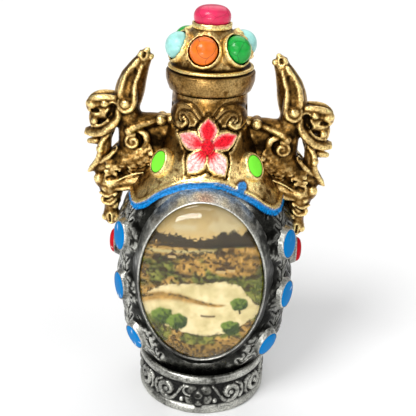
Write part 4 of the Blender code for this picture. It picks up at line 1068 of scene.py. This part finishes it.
# Hollows pressed into both sides: points, half width, depth
HOLLOWS = (
    (((16.9, 37.0), (17.6, 35.2), (18.0, 33.4), (18.1, 31.8)), 0.95, 0.3),
    (((14.7, 40.6), (14.8, 40.2)), 0.45, 0.35),
    (((21.3, 28.7), (21.6, 27.4), (22.2, 26.4)), 0.8, 0.6),
    (((25.0, 27.3), (26.0, 27.2)), 0.5, 0.5),
    (((21.2, 21.8), (21.2, 19.4)), 0.55, 3.5),
    (((21.2, 12.0), (22.2, 11.7)), 0.7, 0.25),
    (((21.2, 7.4), (22.8, 6.4)), 0.35, 0.4),
    (((22.1, 2.2), (22.1, 0.2)), 0.22, 0.5),
)
# Painted shade in the beast's deep places: outward from the axis, height, reach, depth
SHADES = ((11.7, 65.1, 2.8, 0.95), (18.8, 68.2, 1.9, 0.6), (19.8, 64.2, 2.2, 0.7), (20.6, 60.6, 1.9, 0.6),
          (13.0, 70.2, 2.4, 0.5), (16.0, 58.0, 2.0, 0.3), (21.6, 70.6, 1.6, 0.6))


def tube(path, y_values, radii, fullness, sides):
    """A round-ended tube along a path in a plane of constant front-to-back place."""
    path = np.asarray(path, dtype=float)
    ahead = np.gradient(path, axis=0)
    ahead /= np.maximum(np.linalg.norm(ahead, axis=1, keepdims=True), 1e-9)

    def rounded_end(i, way, angles):
        return [(path[i] + way * ahead[i] * radii[i] * math.sin(angle), ahead[i], y_values[i],
                 radii[i] * math.cos(angle)) for angle in angles]

    rows = rounded_end(0, -1, (1.5, 1.1, 0.6)) + list(zip(path, ahead, y_values, radii))
    rows += rounded_end(-1, 1, (0.6, 1.1, 1.5))
    swing = np.arange(sides) * TAU / sides
    rings = []
    for centre, forward, y, radius in rows:
        across = np.array([-forward[1], forward[0]])
        ring = np.empty((sides, 3))
        ring[:, 0] = centre[0] + across[0] * radius * np.cos(swing)
        ring[:, 2] = centre[1] + across[1] * radius * np.cos(swing)
        ring[:, 1] = y + radius * fullness * np.sin(swing)
        rings.append(ring)
    points = np.array(rings)
    faces = grid_faces(len(points), sides)
    start, end = points[0].mean(0), points[-1].mean(0)
    count = len(points) * sides
    flat = np.vstack([points.reshape(-1, 3), start, end])
    caps = [(count, (j + 1) % sides, j, j) for j in range(sides)]
    caps += [(count + 1, count - sides + j, count - sides + (j + 1) % sides, count - sides + (j + 1) % sides)
             for j in range(sides)]
    return flat, faces, np.array(caps)[:, :3]


def handle_shape():
    """The beast's limbs, balls, ridges and curls, remeshed as one skin."""
    quads, tris, points, start = [], [], [], 0

    def add(piece):
        nonlocal start
        flat, faces, caps = piece
        points.append(flat)
        quads.append(faces + start)
        tris.append(caps + start)
        start += len(flat)

    for stations, fullness in LIMBS:
        rows = smooth_path(stations, 6)
        add(tube(rows[:, :2], np.zeros(len(rows)), np.maximum(rows[:, 2], 0.2), fullness, 20))
    for side in (FRONT, BACK):
        for x, z, y, radius in BALLS:
            short = np.array([(x - 0.02, z), (x + 0.02, z)])
            add(tube(short, (side * y,) * 2, (radius,) * 2, 1.0, 16))
        for path, depths, radius in RIDGES:
            rows = smooth_path([(*p, d) for p, d in zip(path, depths)], 6)
            if isinstance(radius, tuple):
                taper = np.linspace(*radius, len(rows))
            else:
                taper = radius * (0.55 + 0.45 * np.sin(np.linspace(0.15, 0.9, len(rows)) * math.pi))
            add(tube(rows[:, :2], side * rows[:, 2], taper, 1.0, 12))
        swing = np.linspace(math.radians(100), math.radians(-420), 40)
        reach = np.linspace(1.65, 0.3, 40)
        spiral = SPIRAL_CENTRE + np.stack([reach * np.cos(swing), reach * np.sin(swing)], 1)
        add(tube(spiral, np.full(40, side * 2.85), np.full(40, 0.52), 1.2, 10))
    state = np.random.RandomState(5)
    for side in (FRONT, BACK):
        for _ in range(CURL_COUNT):
            share = state.uniform()
            across = state.uniform(-2.6, 2.0)
            x, z = 12.4 + 10.5 * share, 18.8 - 5.2 * share + across
            radius = state.uniform(0.25, 0.42)
            curl = np.linspace(0, 4.5, 9)
            path = np.stack([x + radius * np.cos(curl + share * 9), z + radius * np.sin(curl + share * 9)], 1)
            depth = side * (3.22 * math.sqrt(max(1 - (across / 4.0) ** 2, 0.1)) - 0.8 * max(share - 0.6, 0))
            add(tube(path, np.full(9, depth), np.full(9, 0.2), 1.1, 8))
    mesh = bpy.data.meshes.new("beast")
    faces = [face for group in quads + tris for face in group.tolist()]
    mesh.from_pydata((np.vstack(points) * 0.001).tolist(), [], faces)
    obj = bpy.data.objects.new("beast", mesh)
    bpy.context.scene.collection.objects.link(obj)
    skin = obj.modifiers.new("skin", "REMESH")
    skin.mode = "VOXEL"
    skin.voxel_size = 0.00021
    bpy.context.view_layer.update()
    done = bpy.data.meshes.new_from_object(obj.evaluated_get(bpy.context.evaluated_depsgraph_get()))
    bpy.data.objects.remove(obj)
    return done


def handle_pieces():
    """Presses the hollows into the beast, then places it on both sides and paints it."""
    mesh = handle_shape()
    relax(mesh, 3)
    points, normals = read_points(mesh)
    sideways = ease(0.15, 0.6, np.abs(normals[:, 1]))
    press = np.zeros(len(points))
    for path, half, depth in HOLLOWS:
        reach, _ = near_path(points[:, 0], points[:, 2], smooth_path(path, 4))
        press = np.maximum(press, depth * ease(half * 1.35, half * 0.4, reach))
    points[:, 1] -= np.sign(points[:, 1]) * np.minimum(press * sideways, np.abs(points[:, 1]) - 0.05)
    points += normals * (0.16 * (clouds(points, 1.1, 120, 2) - 0.5))[:, None]
    write_points(mesh, points)
    relax(mesh, 1)
    for side, name in ((LEFT, "left"), (RIGHT, "right")):
        copy = mesh.copy()
        points, _ = read_points(copy)
        points[:, 2] += HOOF_Z
        lean = side * LEAN
        dx, dz = points[:, 0] - LEAN_X, points[:, 2] - LEAN_Z
        points[:, 0] = LEAN_X + dx * math.cos(lean) + dz * math.sin(lean)
        points[:, 2] = LEAN_Z - dx * math.sin(lean) + dz * math.cos(lean)
        low, high = (np.array(corner) * 1000 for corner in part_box(name + "_beast_handle"))
        points[:, 0] = np.minimum(points[:, 0], max(abs(low[0]), abs(high[0])))
        if side == LEFT:
            points[:, 0] *= -1
        write_points(copy, points)
        if side == LEFT:
            copy.flip_normals()
        # Painted shade darkens the beast's deep places
        shade = np.zeros(len(points))
        for at_x, at_z, reach, depth in SHADES:
            gap = np.hypot(np.abs(points[:, 0]) - at_x, points[:, 2] - at_z)
            shade = np.maximum(shade, depth * ease(reach, 0.4 * reach, gap))
        antique(copy, GOLD, 130 + side, -shade, 0.45)
        place(name + "_beast_casting", copy, METAL, "antique_gold", name + "_beast_handle")


# Materials

def blank_material(name, **values):
    """A new material, its shader with values, and short ways to add a node and to link two sockets."""
    material = bpy.data.materials.new(name)
    material.use_nodes = True
    tree = material.node_tree

    def set_values(node, values):
        for socket, value in values.items():
            node.inputs[socket.replace("_", " ")].default_value = value
        return node

    def add(kind, **values):
        return set_values(tree.nodes.new("ShaderNode" + kind), values)

    return material, set_values(tree.nodes["Principled BSDF"], values), add, tree.links.new


def painted_metal(name):
    """Cast metal coloured by its mesh, with a fine grain and uneven polish."""
    material, shader, add, link = blank_material(name, Specular_IOR_Level=0.05)
    tint, kind, split, where = add("Attribute"), add("Attribute"), add("SeparateColor"), add("TexCoord")
    tint.attribute_name, kind.attribute_name = "tint", "kind"
    fine, broad = add("TexNoise", Scale=2600, Detail=4), add("TexNoise", Scale=420, Detail=3)
    level = add("MapRange", From_Min=0.35, From_Max=0.65, To_Min=0.6, To_Max=1.4)
    scaled = add("VectorMath")
    scaled.operation = "SCALE"
    rough = add("Math")
    rough.operation = "MULTIPLY_ADD"
    rough.inputs[1].default_value = 0.16
    raised = add("Bump", Strength=0.35, Distance=0.00015)
    link(kind.outputs["Color"], split.inputs["Color"])
    link(where.outputs["Object"], fine.inputs["Vector"])
    link(where.outputs["Object"], broad.inputs["Vector"])
    link(fine.outputs["Fac"], level.inputs["Value"])
    link(tint.outputs["Color"], scaled.inputs[0])
    link(level.outputs["Result"], scaled.inputs["Scale"])
    link(scaled.outputs["Vector"], shader.inputs["Base Color"])
    link(split.outputs["Red"], shader.inputs["Metallic"])
    link(broad.outputs["Fac"], rough.inputs[0])
    link(split.outputs["Green"], rough.inputs[2])
    link(rough.outputs["Value"], shader.inputs["Roughness"])
    link(fine.outputs["Fac"], raised.inputs["Height"])
    link(raised.outputs["Normal"], shader.inputs["Normal"])
    return material


def veined(add, link, where, ground, colour):
    """Lays thin wandering cracks of a colour over the ground."""
    twist = add("TexNoise", Scale=300, Detail=3)
    shift = add("VectorMath")
    shift.operation = "MULTIPLY_ADD"
    shift.inputs[1].default_value = (0.0016, 0.0016, 0.0016)
    cracks = add("TexVoronoi")
    cracks.feature = "DISTANCE_TO_EDGE"
    cracks.inputs["Scale"].default_value = 190
    thin = add("MapRange", From_Min=0.0, From_Max=0.022, To_Min=0.6, To_Max=0.0)
    vein = add("Mix")
    vein.data_type = "RGBA"
    vein.inputs["B"].default_value = (*colour, 1)
    link(where.outputs["Object"], twist.inputs["Vector"])
    link(twist.outputs["Color"], shift.inputs[0])
    link(where.outputs["Object"], shift.inputs[2])
    link(shift.outputs["Vector"], cracks.inputs["Vector"])
    link(cracks.outputs["Distance"], thin.inputs["Value"])
    link(thin.outputs["Result"], vein.inputs["Factor"])
    link(ground, vein.inputs["A"])
    return vein.outputs["Result"]


def glossy_material(name, roughness, gloss, colour=None, veins=None):
    """A lightly clouded enamel, stone or print, coloured by its mesh where no colour is given."""
    material, shader, add, link = blank_material(name, Coat_Weight=gloss, Coat_Roughness=0.08,
                                                 Specular_IOR_Level=gloss)
    where, cloud, blend = add("TexCoord"), add("TexNoise", Scale=520, Detail=5), add("Mix")
    blend.data_type, blend.blend_type = "RGBA", "MULTIPLY"
    link(where.outputs["Object"], cloud.inputs["Vector"])
    if colour is None:
        source = add("Attribute")
        source.attribute_name = "tint"
        blend.inputs["Factor"].default_value = 0.12
    else:
        source = add("ValToRGB")
        for stop, place_at, share in zip(source.color_ramp.elements, (0.35, 0.6), (0.8, 1.0)):
            stop.position = place_at
            stop.color = (*[share * c for c in colour], 1)
        blend.inputs["Factor"].default_value = 0.15
        link(cloud.outputs["Fac"], source.inputs["Fac"])
    link(source.outputs["Color"], blend.inputs["A"])
    link(cloud.outputs["Fac"], blend.inputs["B"])
    last = blend.outputs["Result"]
    if veins is not None:
        last = veined(add, link, where, last, veins)
    link(last, shader.inputs["Base Color"])
    rough = add("MapRange", To_Min=roughness * 0.8, To_Max=roughness * 1.4)
    link(cloud.outputs["Fac"], rough.inputs["Value"])
    link(rough.outputs["Result"], shader.inputs["Roughness"])
    raised = add("Bump", Strength=0.05, Distance=0.0002)
    link(cloud.outputs["Fac"], raised.inputs["Height"])
    link(raised.outputs["Normal"], shader.inputs["Normal"])
    return material


def glass_material():
    """Clear glass that lets light through to the picture, with faint smears."""
    material, shader, add, link = blank_material("clear_dome", Base_Color=(0.985, 0.985, 0.96, 1),
                                                 Transmission_Weight=1.0, IOR=1.35)
    where, smear = add("TexCoord"), add("TexNoise", Scale=160, Detail=4)
    rough = add("MapRange", To_Min=0.0, To_Max=0.012)
    clear, ray, either = add("BsdfTransparent"), add("LightPath"), add("MixShader")
    link(where.outputs["Object"], smear.inputs["Vector"])
    link(smear.outputs["Fac"], rough.inputs["Value"])
    link(rough.outputs["Result"], shader.inputs["Roughness"])
    link(ray.outputs["Is Shadow Ray"], either.inputs["Fac"])
    link(shader.outputs["BSDF"], either.inputs[1])
    link(clear.outputs["BSDF"], either.inputs[2])
    link(either.outputs["Shader"], material.node_tree.nodes["Material Output"].inputs["Surface"])
    return material


# Studio

# The camera: metres, radians and pixels of the photo
CAMERA_AWAY, CAMERA_HEIGHT = 0.156808, 0.11928
PITCH, YAW, ROLL = 0.42609, 0.0024, 0.033
FOCAL_PIXELS, PHOTO_PIXELS, SENSOR_WIDTH = 727.54, 416, 36
# How far the bottle is turned from facing the camera
BOTTLE_TURN = math.radians(2.2)
# Suns: name, where it stands, angle of its disc in degrees, power
SUNS = (("key", (-0.45, -0.55, 0.90), 24, 1.85), ("front", (-0.05, -0.80, 0.50), 30, 0.45),
        ("fill", (0.80, -0.40, 0.60), 50, 0.5), ("back", (0.10, 0.80, 1.00), 60, 0.9))


def look_at(obj, target):
    obj.rotation_euler = (Vector(target) - obj.location).to_track_quat("-Z", "Y").to_euler()


def add_light(name, kind, location, target, power):
    light = bpy.data.lights.new(name, kind)
    light.energy = power
    obj = bpy.data.objects.new(name, light)
    bpy.context.scene.collection.objects.link(obj)
    obj.location = location
    look_at(obj, target)
    return light


def floor_plane(reach):
    """A pale floor, staged under the bottle."""
    mesh = bpy.data.meshes.new("floor")
    corners = [(-reach, -reach, 0), (reach, -reach, 0), (reach, reach, 0), (-reach, reach, 0)]
    mesh.from_pydata(corners, [], [(0, 1, 2, 3)])
    floor = bpy.data.objects.new("floor", mesh)
    bpy.context.scene.collection.objects.link(floor)
    material, *_ = blank_material("floor", Base_Color=(0.9, 0.9, 0.9, 1), Roughness=0.7)
    mesh.materials.append(material)


def photo_camera():
    """The camera of the photo, as solved from the ellipses of the foot and the stopper."""
    camera_data = bpy.data.cameras.new("camera")
    camera = bpy.data.objects.new("camera", camera_data)
    bpy.context.scene.collection.objects.link(camera)
    forward = Vector((math.sin(YAW) * math.cos(PITCH), math.cos(YAW) * math.cos(PITCH), -math.sin(PITCH)))
    right = Vector((math.cos(YAW), -math.sin(YAW), 0))
    up = right.cross(forward)
    across = right * math.cos(ROLL) + up * math.sin(ROLL)
    above = up * math.cos(ROLL) - right * math.sin(ROLL)
    matrix = Matrix((across, above, -forward)).transposed().to_4x4()
    matrix.translation = (0, -CAMERA_AWAY, CAMERA_HEIGHT)
    camera.matrix_world = Matrix.Rotation(BOTTLE_TURN, 4, "Z") @ matrix
    camera_data.sensor_width = SENSOR_WIDTH
    camera_data.lens = FOCAL_PIXELS / PHOTO_PIXELS * SENSOR_WIDTH
    camera_data.clip_start = 0.001
    bpy.context.scene.camera = camera


def studio():
    scene = bpy.context.scene
    scene.view_settings.view_transform = "Standard"
    scene.world = bpy.data.worlds.new("studio")
    scene.world.use_nodes = True
    background = scene.world.node_tree.nodes["Background"]
    background.inputs["Color"].default_value = (1, 1, 1, 1)
    background.inputs["Strength"].default_value = 0.32
    floor_plane(3.0)
    glint = add_light("glint", "AREA", (-0.10, -0.42, 0.06), (0, 0, 0.045), 0.45)
    glint.shape = "RECTANGLE"
    glint.size, glint.size_y = 0.15, 0.05
    for name, towards, spread, power in SUNS:
        light = add_light(name, "SUN", towards, (0, 0, 0), power)
        light.angle = math.radians(spread)
    photo_camera()


METAL = painted_metal("antique_metal")
PAPER = glossy_material("printed_picture", 0.4, 0.0)
ENAMEL = glossy_material("enamel", 0.3, 0.02)
GLASS = glass_material()
STONES = {name: glossy_material(name + "_stone", 0.28, 0.25, colour, veins) for name, colour, veins in (
    ("orange", (1.0, 0.20, 0.014), (0.10, 0.03, 0.01)),
    ("green", (0.008, 0.42, 0.05), (0.002, 0.03, 0.01)),
    ("cyan", (0.42, 0.86, 0.80), (0.35, 0.62, 0.55)),
    ("pink", (0.82, 0.03, 0.12), (0.35, 0.01, 0.04)))}

studio()
body_piece()
foot_piece()
frame_pieces()
stud_pieces()
picture_piece("front_river_picture", FRONT, 3)
picture_piece("back_river_picture", BACK, 17)
glass_piece("front_clear_dome", FRONT)
glass_piece("back_clear_dome", BACK)
stopper_piece()
stones()
handle_pieces()
